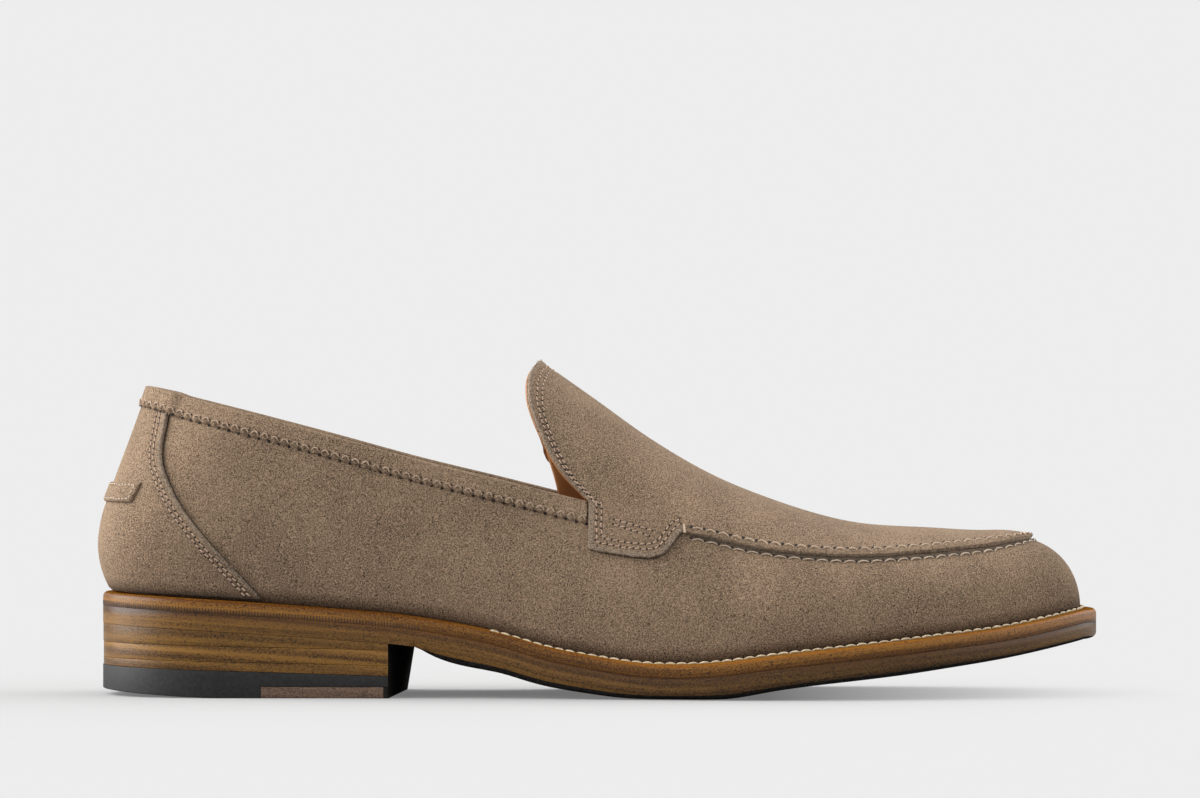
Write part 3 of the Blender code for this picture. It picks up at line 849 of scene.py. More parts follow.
# Collar binding
# A strip of suede folded over the collar's edge. Tight looped stitches near its lower edge pull it into a row
# of small lumps, with a hole between each two that is painted dark as its shade.
BINDING_DEPTH = 7.0 * MM
BINDING_INSIDE = 5.0 * MM
BINDING = 0.8 * MM
BINDING_END = 2 * GAP
BINDING_ROWS = 22
OVER_COUNTER = 4.0 * MM  # length over which the binding climbs onto the counter
LOOP_PITCH = 3.15 * MM
LOOP_COLUMNS = 10  # columns of the binding in each stitch
LOOP_THREAD = 0.22 * MM
LOOP_FEET = 6.1 * MM  # below the collar's edge
LOOP_RISE = 1.0 * MM
LUMP = 0.42 * MM
LUMP_BELOW = 6.0 * MM
LUMP_WIDTH = 1.1 * MM
SCALLOP = 0.55 * MM
BINDING_SEAT = 0.05 * MM  # above what it lies on
BINDING_EDGE = 0.9 * MM  # width over which its lower edge is rounded
LINING_SEAT = 0.04 * MM  # inside the upper's lining
LOOP_ARCH = 0.25 * MM
COLLAR_LOOP_LIFT = 0.1 * MM
LOW_HOLE = 0.5 * MM
LOW_HOLE_RISE = 0.1 * MM  # above the binding's lower edge
HIGH_HOLE = 0.26 * MM
HIGH_HOLE_RISE = 0.8 * MM  # above the feet of the loops

binding_end = station_of(NOTCH - BINDING_END)
fine_t = np.linspace(-binding_end, binding_end, 12 * LINE_POINTS)
loop_far = lengths(round_heel(fine_t, collar_angle(station(np.abs(fine_t)), LOOP_FEET)))
loop_count = round(loop_far[-1] / LOOP_PITCH)
binding_t = np.interp(np.linspace(0, loop_far[-1], loop_count * LOOP_COLUMNS + 1), loop_far, fine_t)
binding_x = station(np.abs(binding_t))
lump = 0.5 - 0.5 * np.cos(2 * np.pi * np.arange(len(binding_t)) / LOOP_COLUMNS)


def under_binding(x):
    """What the binding lies on outside: the upper, and the counter round the heel."""
    front = counter_front(collar_height(x))
    return BINDING_SEAT + (counter_face - BINDING_SEAT) * (1 - eased((x - front) / OVER_COUNTER))


seat = under_binding(binding_x)


def binding_row(below, lift):
    """A row of the binding's mesh at a depth below the collar's edge."""
    return lifted(round_heel, binding_t, collar_angle(binding_x, below), lift)


def on_binding(below, lift):
    """A line along the binding at a height above what it lies on, and its facings."""
    return laid(round_heel, binding_t, collar_angle(binding_x, below), seat + lift)


lower_edge = BINDING_DEPTH - SCALLOP * (1 - lump)
binding_ring = []
for share in np.linspace(0, 1, BINDING_ROWS + 1):
    below = lower_edge + (ROLL - lower_edge) * share**1.5
    edge = 0.25 + 0.75 * rounded((lower_edge - below) / BINDING_EDGE)
    pulled = LUMP * (lump - 0.6) * np.exp(-(((below - LUMP_BELOW) / LUMP_WIDTH) ** 2))
    binding_ring.append(binding_row(below, seat + BINDING * edge + pulled))
wall_top = binding_row(ROLL, -WALL / 2 + 0 * seat)
wall_out = facing(round_heel, binding_t, collar_angle(binding_x, ROLL))
wall_up = unit(binding_row(ROLL, 0 * seat) - binding_row(ROLL + MM, 0 * seat))
for turn in np.radians(np.arange(15, 180, 15)):
    reach = WALL / 2 + BINDING + (seat if turn < np.pi / 2 else 0 * seat)
    over = wall_out * (reach * math.cos(turn))[:, None] + wall_up * ROLL * math.sin(turn)
    binding_ring.append(wall_top + over)
for below in np.linspace(ROLL, BINDING_INSIDE, BINDING_ROWS // 2):
    binding_ring.append(binding_row(below, -WALL - BINDING + 0 * seat))
lining_seat = -WALL - LINING_SEAT + 0 * seat
for below, lift in ((BINDING_INSIDE, lining_seat), (ROLL, lining_seat), (ROLL, seat), (lower_edge, seat)):
    binding_ring.append(binding_row(below, lift))
binding = loft(np.stack(binding_ring, axis=1), (0, -1))
as_piece("rolled_binding", binding, [taupe_suede], "suede", "collar_binding")

collar_seam = bmesh.new()
collar_line = on_binding(LOOP_FEET, BINDING + COLLAR_LOOP_LIFT)
sew(collar_seam, *collar_line, LOOP_PITCH, LOOP_THREAD, LOOP_ARCH, LOOP_RISE, fill=0.72, hole=0.0)
for below, lift, radius in (
    (BINDING_DEPTH - LOW_HOLE_RISE, HOLE_LIFT, LOW_HOLE),
    (LOOP_FEET - HIGH_HOLE_RISE, BINDING, HIGH_HOLE),
):
    holes, up = on_binding(below, lift)
    needle_holes(collar_seam, holes[::LOOP_COLUMNS], up[::LOOP_COLUMNS], radius)
collar_thread = two_tone("collar_thread", seen(170, 147, 125), seen(123, 103, 85), GRAIN, Roughness=0.8)
as_piece("collar_seam", collar_seam, [collar_thread, hole_shadow], "thread")
collar_fibres = bmesh.new()
fringe(collar_fibres, *on_binding(lower_edge, 0.4 * BINDING))
as_piece("collar_fibres", collar_fibres, [loose_fibre], "suede")


# Throat lining
# A tab of tan lining leather between the tongue's edge and the collar, inside the medial side of the throat.
# Its edges are pared thin, and it is glued to the upper's lining.
THROAT_TOP = 0.26  # share of the way up the tongue
THROAT_BELOW = 4.0 * MM  # below the collar's edge
THROAT_BACK = 0.457 * LENGTH
THROAT_BACK_TOP = 0.441 * LENGTH
THROAT_FRONT = 0.50 * LENGTH
THROAT_THICKNESS = 0.8 * MM
THROAT_SKIVE = 3.0 * MM  # width over which its edges are pared
THROAT_STEPS = 24

throat_rows = np.linspace(0, 1, THROAT_STEPS + 1)[:, None]
throat_columns = np.linspace(0, 1, THROAT_STEPS + 1)
throat_back = THROAT_BACK + (THROAT_BACK_TOP - THROAT_BACK) * eased(throat_rows)
throat_x = throat_back + (THROAT_FRONT - throat_back) * throat_columns
throat_low = collar_angle(throat_x, THROAT_BELOW)
throat_high = low_crown + (np.pi / 2 - low_crown) * THROAT_TOP
throat_angle = np.pi - (throat_low + (throat_high - throat_low) * throat_rows)
throat_face = WALL + GAP
throat_sheet = skin(throat_x, throat_angle)
throat_top = throat_face + THROAT_THICKNESS
throat = panel([throat_sheet], throat_face, throat_top, THROAT_SKIVE, edge_share=0.12)
as_piece("throat_lining", throat, [lining_leather, lining_leather, lining_leather], "lining_leather")


# Apron
# The suede over the top of the foot, with the tongue that stands up behind it and a wing on each side. Its
# cut edge is sewn to the vamp by thick loops round the toe, and the tongue and wings carry two rows of fine
# stitches.
APRON_TIP = 0.934 * LENGTH
APRON_ROUND = 0.1 * LENGTH
APRON_COLUMNS = 260
WING_ROWS = 26
TONGUE_SEAM_INSETS = (2.3 * MM, 3.8 * MM)
WING_FRONT = 0.581 * LENGTH
SEAM_START = 0.589 * LENGTH  # where the looped seam begins, in front of the wing
APRON_BEVEL = 1.6 * MM
# In front of this the apron's cut rim is a darker copy of the cut edge, painted shade under its raised edge.
SHADED_RIM_FROM = 0.583 * LENGTH - MIDDLE_ALONG
EDGE_ROW_INSET = 1.2 * MM
EDGE_ROW_RISE = 0.85 * MM
EDGE_PITCH = 3.95 * MM
EDGE_THREAD = 0.28 * MM
VAMP_LOOP_PITCH = 4.2 * MM
EDGE_HOLE = 0.54 * MM
EDGE_HOLE_INSET = 0.4 * MM  # inside the row
EDGE_HOLE_LIFT = 0.1 * MM
LOOP_OUTSET = 1.5 * MM
LOOP_SLANT = 0.3 * MM
LOOP_HOLE = 0.48 * MM
LOOP_HOLE_RISE = 0.6 * MM
VAMP_LOOP_LIFT = 0.12 * MM
VAMP_LOOP_RISE = 0.55 * MM
VAMP_THREAD = 0.23 * MM
TACK_THREAD = 0.34 * MM
TOP_FIBRE_INSET = 0.6 * MM
EDGE_GAP = 0.45 * MM  # half the height of the strip of painted shadow under the apron's edge
EDGE_GAP_OUTSET = 0.45 * MM
EDGE_GAP_LIFT = 0.05 * MM
WING_GAP_START = NOTCH + 0.4 * MM
FRAY = 0.09 * MM
FRAY_STEP = 0.7 * MM

# The apron's cut edge with its wing, and the smooth line above it that its rows follow
Apron = namedtuple("Apron", "along edge line")
APRON = [
    Apron(48.8, 44.4, 58.6), Apron(50, 43.6, 57.8), Apron(52, 42.5, 56.4), Apron(53.8, 41.8, 55.1),
    Apron(55.2, 41.8, 54.1), Apron(56.2, 42.9, 53.4), Apron(57.1, 45.8, 52.6), Apron(57.9, 48.7, 52.0),
    Apron(59.1, 48.4, 51.2), Apron(63.6, 45.5, 48.0), Apron(67.8, 43.4, 45.8), Apron(72, 42.0, 44.2),
    Apron(76.3, 41.8, 43.4), Apron(81.5, 42.6, 43.7), Apron(85.5, 43.5, 44.4), Apron(93.4, 43.6, 45.2),
]
# Two short rows that hold the wing, and the bar of thread at its front end: ends in per cent of the length
# and of the instep height
Bar = namedtuple("Bar", "along height to_along to_height")
WING_BARS = [Bar(51.3, 52.8, 55.1, 49.3), Bar(51.2, 51.4, 54.8, 47.8)]
TACK = Bar(58.2, 50.9, 58.3, 48.5)

apron_edge = through(APRON, "edge", PER_CENT * INSTEP_HEIGHT)
apron_line = through(APRON, "line", PER_CENT * INSTEP_HEIGHT)


def apron_angle(x, height, inset=0.0):
    """A line of the apron, drawn up to the ridge round its tip."""
    open_angle = np.pi / 2 - angle_at(x, height(x) + inset)
    return np.pi / 2 - open_angle * rounded((APRON_TIP - inset - x) / APRON_ROUND, PLAN_POWER)


fray_places = np.arange(NOTCH, APRON_TIP + FRAY_STEP, FRAY_STEP)
fray_depths = hand.normal(0.0, FRAY, len(fray_places))


def frayed_edge(x):
    """The apron's edge with the small unevenness of a cut."""
    return apron_edge(x) + np.interp(x, fray_places, fray_depths)


def both_ends(count):
    """Shares from 0 to 1 that come closer together towards both."""
    return (1 - np.cos(np.linspace(0, np.pi, count + 1))) / 2


def apron_sheet():
    start = station_of(NOTCH)
    x = station(start + (station_of(APRON_TIP) - start) * both_ends(APRON_COLUMNS))
    edge = apron_angle(x, frayed_edge)
    line = apron_angle(x, apron_line)
    wing = edge + (line - edge) * (np.linspace(0, 1, WING_ROWS + 1)[:-1, None] ** 1.5)
    top = line + (np.pi / 2 - line) * (np.linspace(0, 1, CROWN_ROWS + 1)[:, None] ** 1.35)
    return skin(x, mirrored(np.concatenate((wing, top))))


def on_side(x, angle, side):
    return x, angle if side < 0 else np.pi - angle


def round_toe(inset):
    """Places beside the apron's edge from the lateral wing round the toe to the medial one."""
    x = SEAM_START + (APRON_TIP - inset - SEAM_START) * np.sin(np.linspace(0, np.pi / 2, 3 * LINE_POINTS))
    angle = apron_angle(x, apron_edge, inset)
    return np.concatenate((x, x[-2::-1])), np.concatenate((angle, np.pi - angle[-2::-1]))


def along_wing(inset, side):
    """Places inside the edge of the tongue and of one wing, from the tongue's top to the wing's front."""
    rise = np.linspace(np.pi / 2, low_crown, LINE_POINTS)
    x = [tongue_start(on_side(0, rise, side)[1]) + inset]
    angle = [rise]
    bottom = np.linspace(NOTCH, WING_FRONT, 2 * LINE_POINTS)
    slope = np.gradient(apron_edge(bottom), bottom)
    bottom_x = bottom - inset * slope / np.sqrt(1 + slope**2)
    bottom_z = apron_edge(bottom) + inset / np.sqrt(1 + slope**2)
    kept = bottom_x >= NOTCH + inset
    heights = np.linspace(collar_height(NOTCH), bottom_z[kept][0], LINE_POINTS // 3)
    x += [np.full_like(heights, NOTCH + inset), bottom_x[kept]]
    angle += [angle_at(NOTCH + inset, heights), angle_at(bottom_x[kept], bottom_z[kept])]
    return on_side(np.concatenate(x), np.concatenate(angle), side)


def along_bar(bar, side):
    share = np.linspace(0, 1, LINE_POINTS)
    x = (bar.along + (bar.to_along - bar.along) * share) * PER_CENT * LENGTH
    z = (bar.height + (bar.to_height - bar.height) * share) * PER_CENT * INSTEP_HEIGHT
    return on_side(x, angle_at(x, z), side)


apron_face = GAP + OVERLAY
wing_lines = [along_wing(inset, side) for inset in TONGUE_SEAM_INSETS for side in (-1, 1)]
wing_lines += [along_bar(bar, side) for bar in WING_BARS for side in (-1, 1)]
edge_row = round_toe(EDGE_ROW_INSET)
apron_furrows = [(skin(*line), SEAM_DEPTH, SEAM_WIDTH) for line in wing_lines + [edge_row]]
apron = panel(
    [apron_sheet(), tongue_sheet()], GAP, apron_face, EDGE_ROUND, edge_share=0.8, furrows=apron_furrows,
    band=APRON_BEVEL, shaded_from=SHADED_RIM_FROM,
)
# Painted shade: the apron's cut rim round the toe is a darker copy of the cut edge, as it lies in shade.
shaded_cut_rim = two_tone("apron_shaded_cut_rim", seen(134, 114, 95), seen(80, 67, 55), 1500.0, Roughness=1.0)
# Painted shadow: the colour of the strip under the apron's edge.
under_edge_shade = two_tone("apron_edge_shade", seen(92, 79, 65), seen(52, 44, 36), 1500.0, Roughness=1.0)
as_piece("sewn_apron", apron, [taupe_suede, taupe_suede, cut_edge, shaded_cut_rim], "suede", "apron")

wing_seam = bmesh.new()
for line in wing_lines:
    placed = laid(skin, *line, apron_face - SEAM_DEPTH)
    sew(wing_seam, *placed, FINE_PITCH, FINE_THREAD, FINE_ARCH, slant=FINE_SLANT)
as_piece("tongue_and_wing_seams", wing_seam, [fine_thread, hole_shadow], "thread")

apron_seam = bmesh.new()
edge_line = laid(skin, *edge_row, apron_face - SEAM_DEPTH)
sew(apron_seam, *edge_line, EDGE_PITCH, EDGE_THREAD, FINE_ARCH, EDGE_ROW_RISE, fill=0.86, hole=0.0, thread=2)
edge_holes = laid(skin, *round_toe(EDGE_ROW_INSET + EDGE_HOLE_INSET), apron_face + EDGE_HOLE_LIFT)
needle_holes(apron_seam, *spaced(*edge_holes, EDGE_PITCH), EDGE_HOLE)
vamp_line = laid(skin, *round_toe(-LOOP_OUTSET), VAMP_LOOP_LIFT)
sew(
    apron_seam, *vamp_line, VAMP_LOOP_PITCH, VAMP_THREAD, LOOP_ARCH, VAMP_LOOP_RISE, LOOP_SLANT,
    fill=0.86, hole=0.0,
)
loop_places, loop_up = spaced(*vamp_line, VAMP_LOOP_PITCH)
loop_side = np.cross(loop_up, unit(np.gradient(loop_places, axis=0)))
loop_places = loop_places + loop_side * LOOP_HOLE_RISE + loop_up * HOLE_LIFT
needle_holes(apron_seam, loop_places, loop_up, LOOP_HOLE)
for side in (-1, 1):
    tack, tack_out = laid(skin, *along_bar(TACK, side), apron_face)
    tube(apron_seam, tack, tack_out, np.full(len(tack), TACK_THREAD), 2)
as_piece("apron_seam", apron_seam, [loop_thread, hole_shadow, row_thread], "thread")
apron_fibres = bmesh.new()
for inset, height in ((FIBRE_INSET, apron_face - FIBRE_SINK), (TOP_FIBRE_INSET, apron_face)):
    fringe(apron_fibres, *laid(skin, *round_toe(inset), height))
for side in (-1, 1):
    fringe(apron_fibres, *laid(skin, *along_wing(FIBRE_INSET, side), apron_face - FIBRE_SINK))
as_piece("apron_fibres", apron_fibres, [loose_fibre], "suede")
# Painted shadow: a flat dark strip under the apron's edge round the toe, and a dark line under each wing's
# edge.
apron_gap_shade = bmesh.new()
gap_shade_line, gap_out = laid(skin, *round_toe(-EDGE_GAP_OUTSET), EDGE_GAP_LIFT)
tube(apron_gap_shade, gap_shade_line, gap_out, EDGE_GAP * hand.uniform(0.8, 1.2, len(gap_shade_line)), 1, flat=0.3)
for side in (-1, 1):
    x, angle = along_wing(-GAP_OUTSET, side)
    below_notch = x >= WING_GAP_START
    wing_gap_shade, wing_out = laid(skin, x[below_notch], angle[below_notch], GAP_LIFT)
    tube(apron_gap_shade, wing_gap_shade, wing_out, np.full(len(wing_gap_shade), GAP_LINE))
as_piece("apron_painted_edge_shadow", apron_gap_shade, [gap_shadow, under_edge_shade], "suede")


# Welt
# A full-length layer of leather whose rim shows all round. In front of the heel it is sewn to the outsole
# with thick waxed thread, and round the heel its edge is marked with a hot wheel.
WELT = 3.8 * MM
WELT_SINK = 0.1 * MM  # its top lies this far below the foot line
WELT_ROUND = 1.6 * MM
WELT_UNDER_ROUND = 0.12 * MM
LOOKS_UP = 0.8  # faces that look up more than this are its matt upper face
WELT_PITCH = 3.35 * MM
WELT_THREAD = 0.39 * MM
WELT_ARCH = 0.3 * MM
WELT_SEAM_LIFT = 0.1 * MM
WELT_SEAM_BEYOND = 0.9 * MM
WELT_SEAM_START = 0.39 * LENGTH
WELT_SEAM_RISE = 0.4 * MM  # the seam lies deeper in the waist and rises towards the ball
WELT_SEAM_REACH = 0.3 * LENGTH
WHEEL_PITCH = 0.92 * MM
WHEEL_TOP = 2.1 * MM  # below the foot line
WHEEL_HEIGHT = 2.6 * MM
WHEEL_MARK = 0.28 * MM
WHEEL_SINK = 0.2 * MM
WHEEL_END = 0.32 * LENGTH

# The sole's rim beyond the foot line, its upright edge and the rounded drop under it, in millimetres
Sole = namedtuple("Sole", "along margin edge drop")
SOLE = [
    Sole(0, 4.1, 9.5, 0), Sole(13, 3.6, 9.4, 0), Sole(22, 2.6, 9.2, 0), Sole(31.6, 2.3, 9.1, 0),
    Sole(33.2, 2.2, 9.0, 2.0), Sole(41, 2.2, 9.0, 3.25), Sole(49, 3.0, 8.6, 3.1), Sole(55, 3.9, 8.4, 2.9),
    Sole(62, 4.8, 8.3, 3.2), Sole(68, 5.0, 8.0, 2.6), Sole(80, 5.0, 7.9, 2.4), Sole(90, 5.0, 7.6, 1.9),
    Sole(100, 4.8, 7.4, 1.9),
]
rim = through(SOLE, "margin", MM)
edge_depth = through(SOLE, "edge", MM)
edge_drop = through(SOLE, "drop", MM)


def welt_top(x):
    return foot(x) - WELT_SINK


def welt_under(x):
    return foot(x) - GAP - WELT


def stacked_grain():
    """Group: the streaks and pores of a burnished leather edge, which follow the layers of the sole."""
    group, given, made = new_group(
        "burnished_edge", [("Light", "Color"), ("Dark", "Color"), ("Pore", "Color")],
        [("Color", "Color"), ("Height", "Float")],
    )
    place = add(group, "ShaderNodeTexCoord").outputs["Object"]
    apart = add(group, "ShaderNodeSeparateXYZ", {"Vector": place})
    below = add(group, "ShaderNodeAttribute", attribute_name="below_foot").outputs["Fac"]
    layered = add(
        group, "ShaderNodeCombineXYZ", {"X": apart.outputs["X"], "Y": apart.outputs["Y"], "Z": below},
    )

    def stretched(along, across):
        scaled = add(group, "ShaderNodeVectorMath", {0: layered.outputs[0]}, operation="MULTIPLY")
        scaled.inputs[1].default_value = (along, along, across)
        return scaled.outputs[0]

    bands = noise(group, stretched(9.0, 480.0), 1.0, 2.0, 0.5)
    streaks = noise(group, stretched(120.0, 2800.0), 1.0, 4.0, 0.65)
    pores = noise(group, stretched(1900.0, 3600.0), 1.0, 2.0, 0.6)
    share = math_node(group, "ADD", bands, math_node(group, "MULTIPLY", streaks, 0.6))
    colour = mix(group, spread(group, share, 0.6, 1.0), given.outputs["Dark"], given.outputs["Light"])
    dim = math_node(group, "SUBTRACT", pores, math_node(group, "MULTIPLY", bands, 0.4))
    colour = mix(group, spread(group, dim, 0.26, 0.46), colour, given.outputs["Pore"])
    group.links.new(colour, made.inputs["Color"])
    group.links.new(math_node(group, "SUBTRACT", streaks, pores), made.inputs["Height"])
    return group


edge_grain = stacked_grain()
# A tint of a leather edge: the places where it starts and is full, and its colour
Tint = namedtuple("Tint", "start full colour")


def edge_leather(name, light, dark, pore, roughness, bands=(), lengthwise=None, shine=1.0):
    """Stained and waxed leather edge. Each band tints it by its depth below the foot line, and lengthwise
    tints it along the shoe: a tone on the outsole, a painted highlight at the welt's toe."""
    material, tree, shader = new_material(
        name, Roughness=roughness, Coat_Weight=0.03 * shine, Coat_Roughness=0.25,
        Specular_IOR_Level=0.16 * shine,
    )
    grain = add(tree, "ShaderNodeGroup", node_tree=edge_grain, Light=light, Dark=dark, Pore=pore)
    colour = grain.outputs["Color"]
    if bands:
        below = add(tree, "ShaderNodeAttribute", attribute_name="below_foot").outputs["Fac"]
        for tint in bands:
            colour = mix(tree, spread(tree, below, tint.start, tint.full), colour, tint.colour, "MULTIPLY")
    if lengthwise:
        place = add(tree, "ShaderNodeTexCoord").outputs["Object"]
        along = add(tree, "ShaderNodeSeparateXYZ", {"Vector": place}).outputs["X"]
        share = spread(tree, along, lengthwise.start, lengthwise.full)
        colour = mix(tree, share, colour, lengthwise.colour, "MULTIPLY")
    tree.links.new(colour, shader.inputs["Base Color"])
    bump(tree, shader, grain.outputs["Height"], 0.1 * MM, 0.4)
    return material


# The welt's last tint lightens it towards the toe's end: a painted highlight.
welt_leather = edge_leather(
    "welt_leather", seen(131, 90, 37), seen(99, 63, 23), seen(52, 32, 12), 0.4,
    [Tint(1.3 * MM, 0.7 * MM, seen(236, 210, 160)), Tint(2.4 * MM, 3.8 * MM, seen(190, 182, 178))],
    Tint(105 * MM, 148 * MM, (1.4, 1.38, 1.42, 1)),
)
matt_welt = edge_leather(
    "welt_upper_face", seen(124, 82, 32), seen(94, 58, 20), seen(54, 33, 12), 0.8, shine=0.0,
)
cream_thread = two_tone("waxed_cream_thread", seen(196, 180, 152), seen(154, 134, 104), 1800.0, Roughness=0.7)
wheel_stain = two_tone("wheel_mark", seen(46, 30, 15), seen(28, 18, 9), 900.0, Roughness=0.8)
welt_profile = edge_profile(welt_top, welt_under, rim, WELT_ROUND, WELT_UNDER_ROUND)
welt = loft(layer_sections(sole_turns, sole_turns, welt_profile))
welt.normal_update()
for face in welt.faces:
    face.material_index = int(face.normal.z > LOOKS_UP)
as_piece("stitched_welt", welt, [welt_leather, matt_welt], "sole_leather", "welt")

seam_turn = station_of(WELT_SEAM_START)
welt_turns = np.linspace(seam_turn, 2 - seam_turn, 8 * LINE_POINTS)


def welt_seam_height(x):
    share = eased((x - WELT_SEAM_START) / WELT_SEAM_REACH)
    return welt_top(x) + WELT_SEAM_LIFT - WELT_SEAM_RISE * (1 - share)


welt_line = rim_points(welt_turns, lambda x: WELT_SEAM_BEYOND + 0 * x, welt_seam_height)
welt_out = np.broadcast_to((0.0, 0.0, 1.0), welt_line.shape)
welt_seam = bmesh.new()
sew(welt_seam, welt_line, welt_out, WELT_PITCH, WELT_THREAD, WELT_ARCH, fill=0.96, hole=0.0, taper=0.3)
as_piece("welt_seam", welt_seam, [cream_thread], "thread")

wheel_marks = bmesh.new()
wheel_end = station_of(WHEEL_END)
wheel_turns = np.linspace(-wheel_end, wheel_end, 8 * LINE_POINTS)
wheel_line = rim_points(wheel_turns, rim, lambda x: foot(x) - WHEEL_TOP)
wheel_out = unit(np.cross(unit(np.gradient(wheel_line, axis=0)), (0.0, 0.0, 1.0)))
down = np.linspace(0, 1, STITCH_RINGS)[:, None] * np.array((0.0, 0.0, -WHEEL_HEIGHT))
mark_width = WHEEL_MARK * np.sin(np.linspace(0.15, np.pi - 0.15, STITCH_RINGS)) ** 0.5
for place, out in zip(*spaced(wheel_line, wheel_out, WHEEL_PITCH)):
    tube(wheel_marks, place - out * WHEEL_SINK + down, np.broadcast_to(out, down.shape), mark_width)
as_piece("wheel_marks", wheel_marks, [wheel_stain], "sole_leather")


# Outsole
# Thick sole leather under the welt, with its edge burnished brown and its rounded lower edge and underside
# stained black. It is sewn on through the welt.
SOLE_ROUND = 3.0 * MM
SOLE_ROUND_HEIGHT = 2.0 * MM
FULL_ROUND_DROP = 1.0 * MM
TREAD_BLEND = 0.7 * MM  # the tread runs out of its flat softly, at the waist and at the toe
SOLE_JOINT = 0.06 * MM  # under the welt
SOLE_TOP_EDGE = 0.1 * MM
SOLE_TOP_INSIDE = 4 * MM  # from the rim to where the layer's top and underside close up
SOLE_UNDER_INSIDE = 6 * MM
BLACK_STEPS = 6
BLACK_FROM = 0.4  # share of the rounded drop that stays brown
BLACK_DROP = 0.5 * MM  # least drop that is stained


def at_least(height, level):
    """The larger of both, eased where they meet."""
    above = height - level
    return level + (above + np.sqrt(above**2 + TREAD_BLEND**2)) / 2


def sole_edge(x):
    return at_least(foot(x) - edge_depth(x), SOLE_ROUND_HEIGHT)


def sole_under(x):
    return at_least(foot(x) - edge_depth(x) - np.maximum(edge_drop(x), 0.0), 0.0)


def rounded_in(x, share):
    return rim(x) - SOLE_ROUND * np.clip(edge_drop(x) / FULL_ROUND_DROP, 0.0, 1.0) * share


def outsole_top(x):
    return welt_under(x) - SOLE_JOINT


outsole_leather = edge_leather(
    "outsole_leather", seen(112, 79, 36), seen(78, 53, 24), seen(36, 24, 12), 0.4,
    [Tint(7.0 * MM, 4.4 * MM, seen(208, 194, 190))], Tint(-50 * MM, 15 * MM, seen(222, 226, 250)),
)
black_stain = two_tone(
    "black_sole_stain", seen(40, 38, 36), seen(22, 21, 20), 700.0, Roughness=0.7, Specular_IOR_Level=0.0,
)
outsole_profile = [
    (lambda x: rim(x) - SOLE_TOP_INSIDE, outsole_top),
    (lambda x: rim(x) - SOLE_TOP_EDGE, outsole_top),
    (rim, lambda x: outsole_top(x) - SOLE_TOP_EDGE),
    (rim, lambda x: outsole_top(x) * 0.5 + sole_edge(x) * 0.5),
    (rim, sole_edge),
]
for k in range(1, BLACK_STEPS + 1):
    turn = np.pi / 2 * k / BLACK_STEPS
    outsole_profile.append((
        lambda x, a=turn: rounded_in(x, 1 - math.cos(a)),
        lambda x, a=turn: sole_edge(x) + (sole_under(x) - sole_edge(x)) * math.sin(a),
    ))
outsole_profile.append((lambda x: rounded_in(x, 1.0) - SOLE_UNDER_INSIDE, sole_under))
outsole = loft(layer_sections(sole_turns, sole_turns, outsole_profile))
for face in outsole.faces:
    middle = face.calc_center_median()
    along = middle.x + MIDDLE_ALONG
    black_line = float(sole_edge(along) - BLACK_FROM * edge_drop(along))
    face.material_index = int(middle.z < black_line and float(edge_drop(along)) > BLACK_DROP)
as_piece("edged_outsole", outsole, [outsole_leather, black_stain], "sole_leather", "outsole")


# Heel
# Three wedge-shaped leather lifts under the outsole, burnished together, on a black rubber top piece whose
# front half is let in with leather. The breast, in front, is stained black.
BREAST = 0.29 * LENGTH
HEEL_INSET_START = 0.164 * LENGTH
HEEL_INSET = 3.3 * MM
HEEL_KICK = 2.0 * MM
HEEL_KICK_REACH = 0.12 * LENGTH
HEEL_KICK_POWER = 1.4
HEEL_STATIONS = 90
HEEL_EDGE = 0.15 * MM
TREAD_EDGE = 0.3 * MM
JOINT = 0.05 * MM

# Height of each layer's underside at the back and at the breast in per cent of the heel height, the breast's
# medial corner in per cent of the length and the inset from the rim in millimetres
Layer = namedtuple("Layer", "name back front medial_breast inset light dark")
HEEL_LAYERS = [
    Layer("heel_lift_1", 52, 46, 31.1, 0.1, seen(113, 81, 36), seen(80, 54, 24)),
    Layer("heel_lift_2", 37.2, 31, 30.9, 0.2, seen(121, 86, 39), seen(84, 57, 26)),
    Layer("heel_lift_3", 29.5, 21.2, 30.7, 0.2, seen(115, 82, 36), seen(82, 55, 25)),
]
TOP_PIECE_BREAST = 0.303 * LENGTH
BREAST_MEDIAL = 0.3025 * LENGTH  # the breast's medial corner at the floor
BREAST_RAKE = 0.165  # how far that corner comes forward for its height
BREAST_STAIN = 1.6 * MM  # how far the breast's stain runs round on to the inset


def heel_floor(x):
    """The heel's underside, lifted a little at its back edge."""
    return HEEL_KICK * np.maximum(1 - x / HEEL_KICK_REACH, 0.0) ** HEEL_KICK_POWER


def heel_sections(start, profile, ends):
    """Sections of a heel layer from a place, 0 for the heel's back, to its lateral and medial ends."""
    lateral_end, medial_end = (station_of(end) for end in ends)
    begin = station_of(start) / lateral_end if start else 0.0
    shares = np.linspace(begin, 1, HEEL_STATIONS + 1)
    return layer_sections(lateral_end * shares, medial_end * shares, profile)


def raked(sections, medial_end):
    """A heel layer with its breast trimmed to one slope at the medial corner."""
    share = np.linspace(0, 1, len(sections))[:, None] ** 4
    forward_by = BREAST_MEDIAL + BREAST_RAKE * sections[..., 2] - medial_end
    sections[..., 0] += np.where(sections[..., 1] > 0, share * forward_by, 0.0)
    return sections


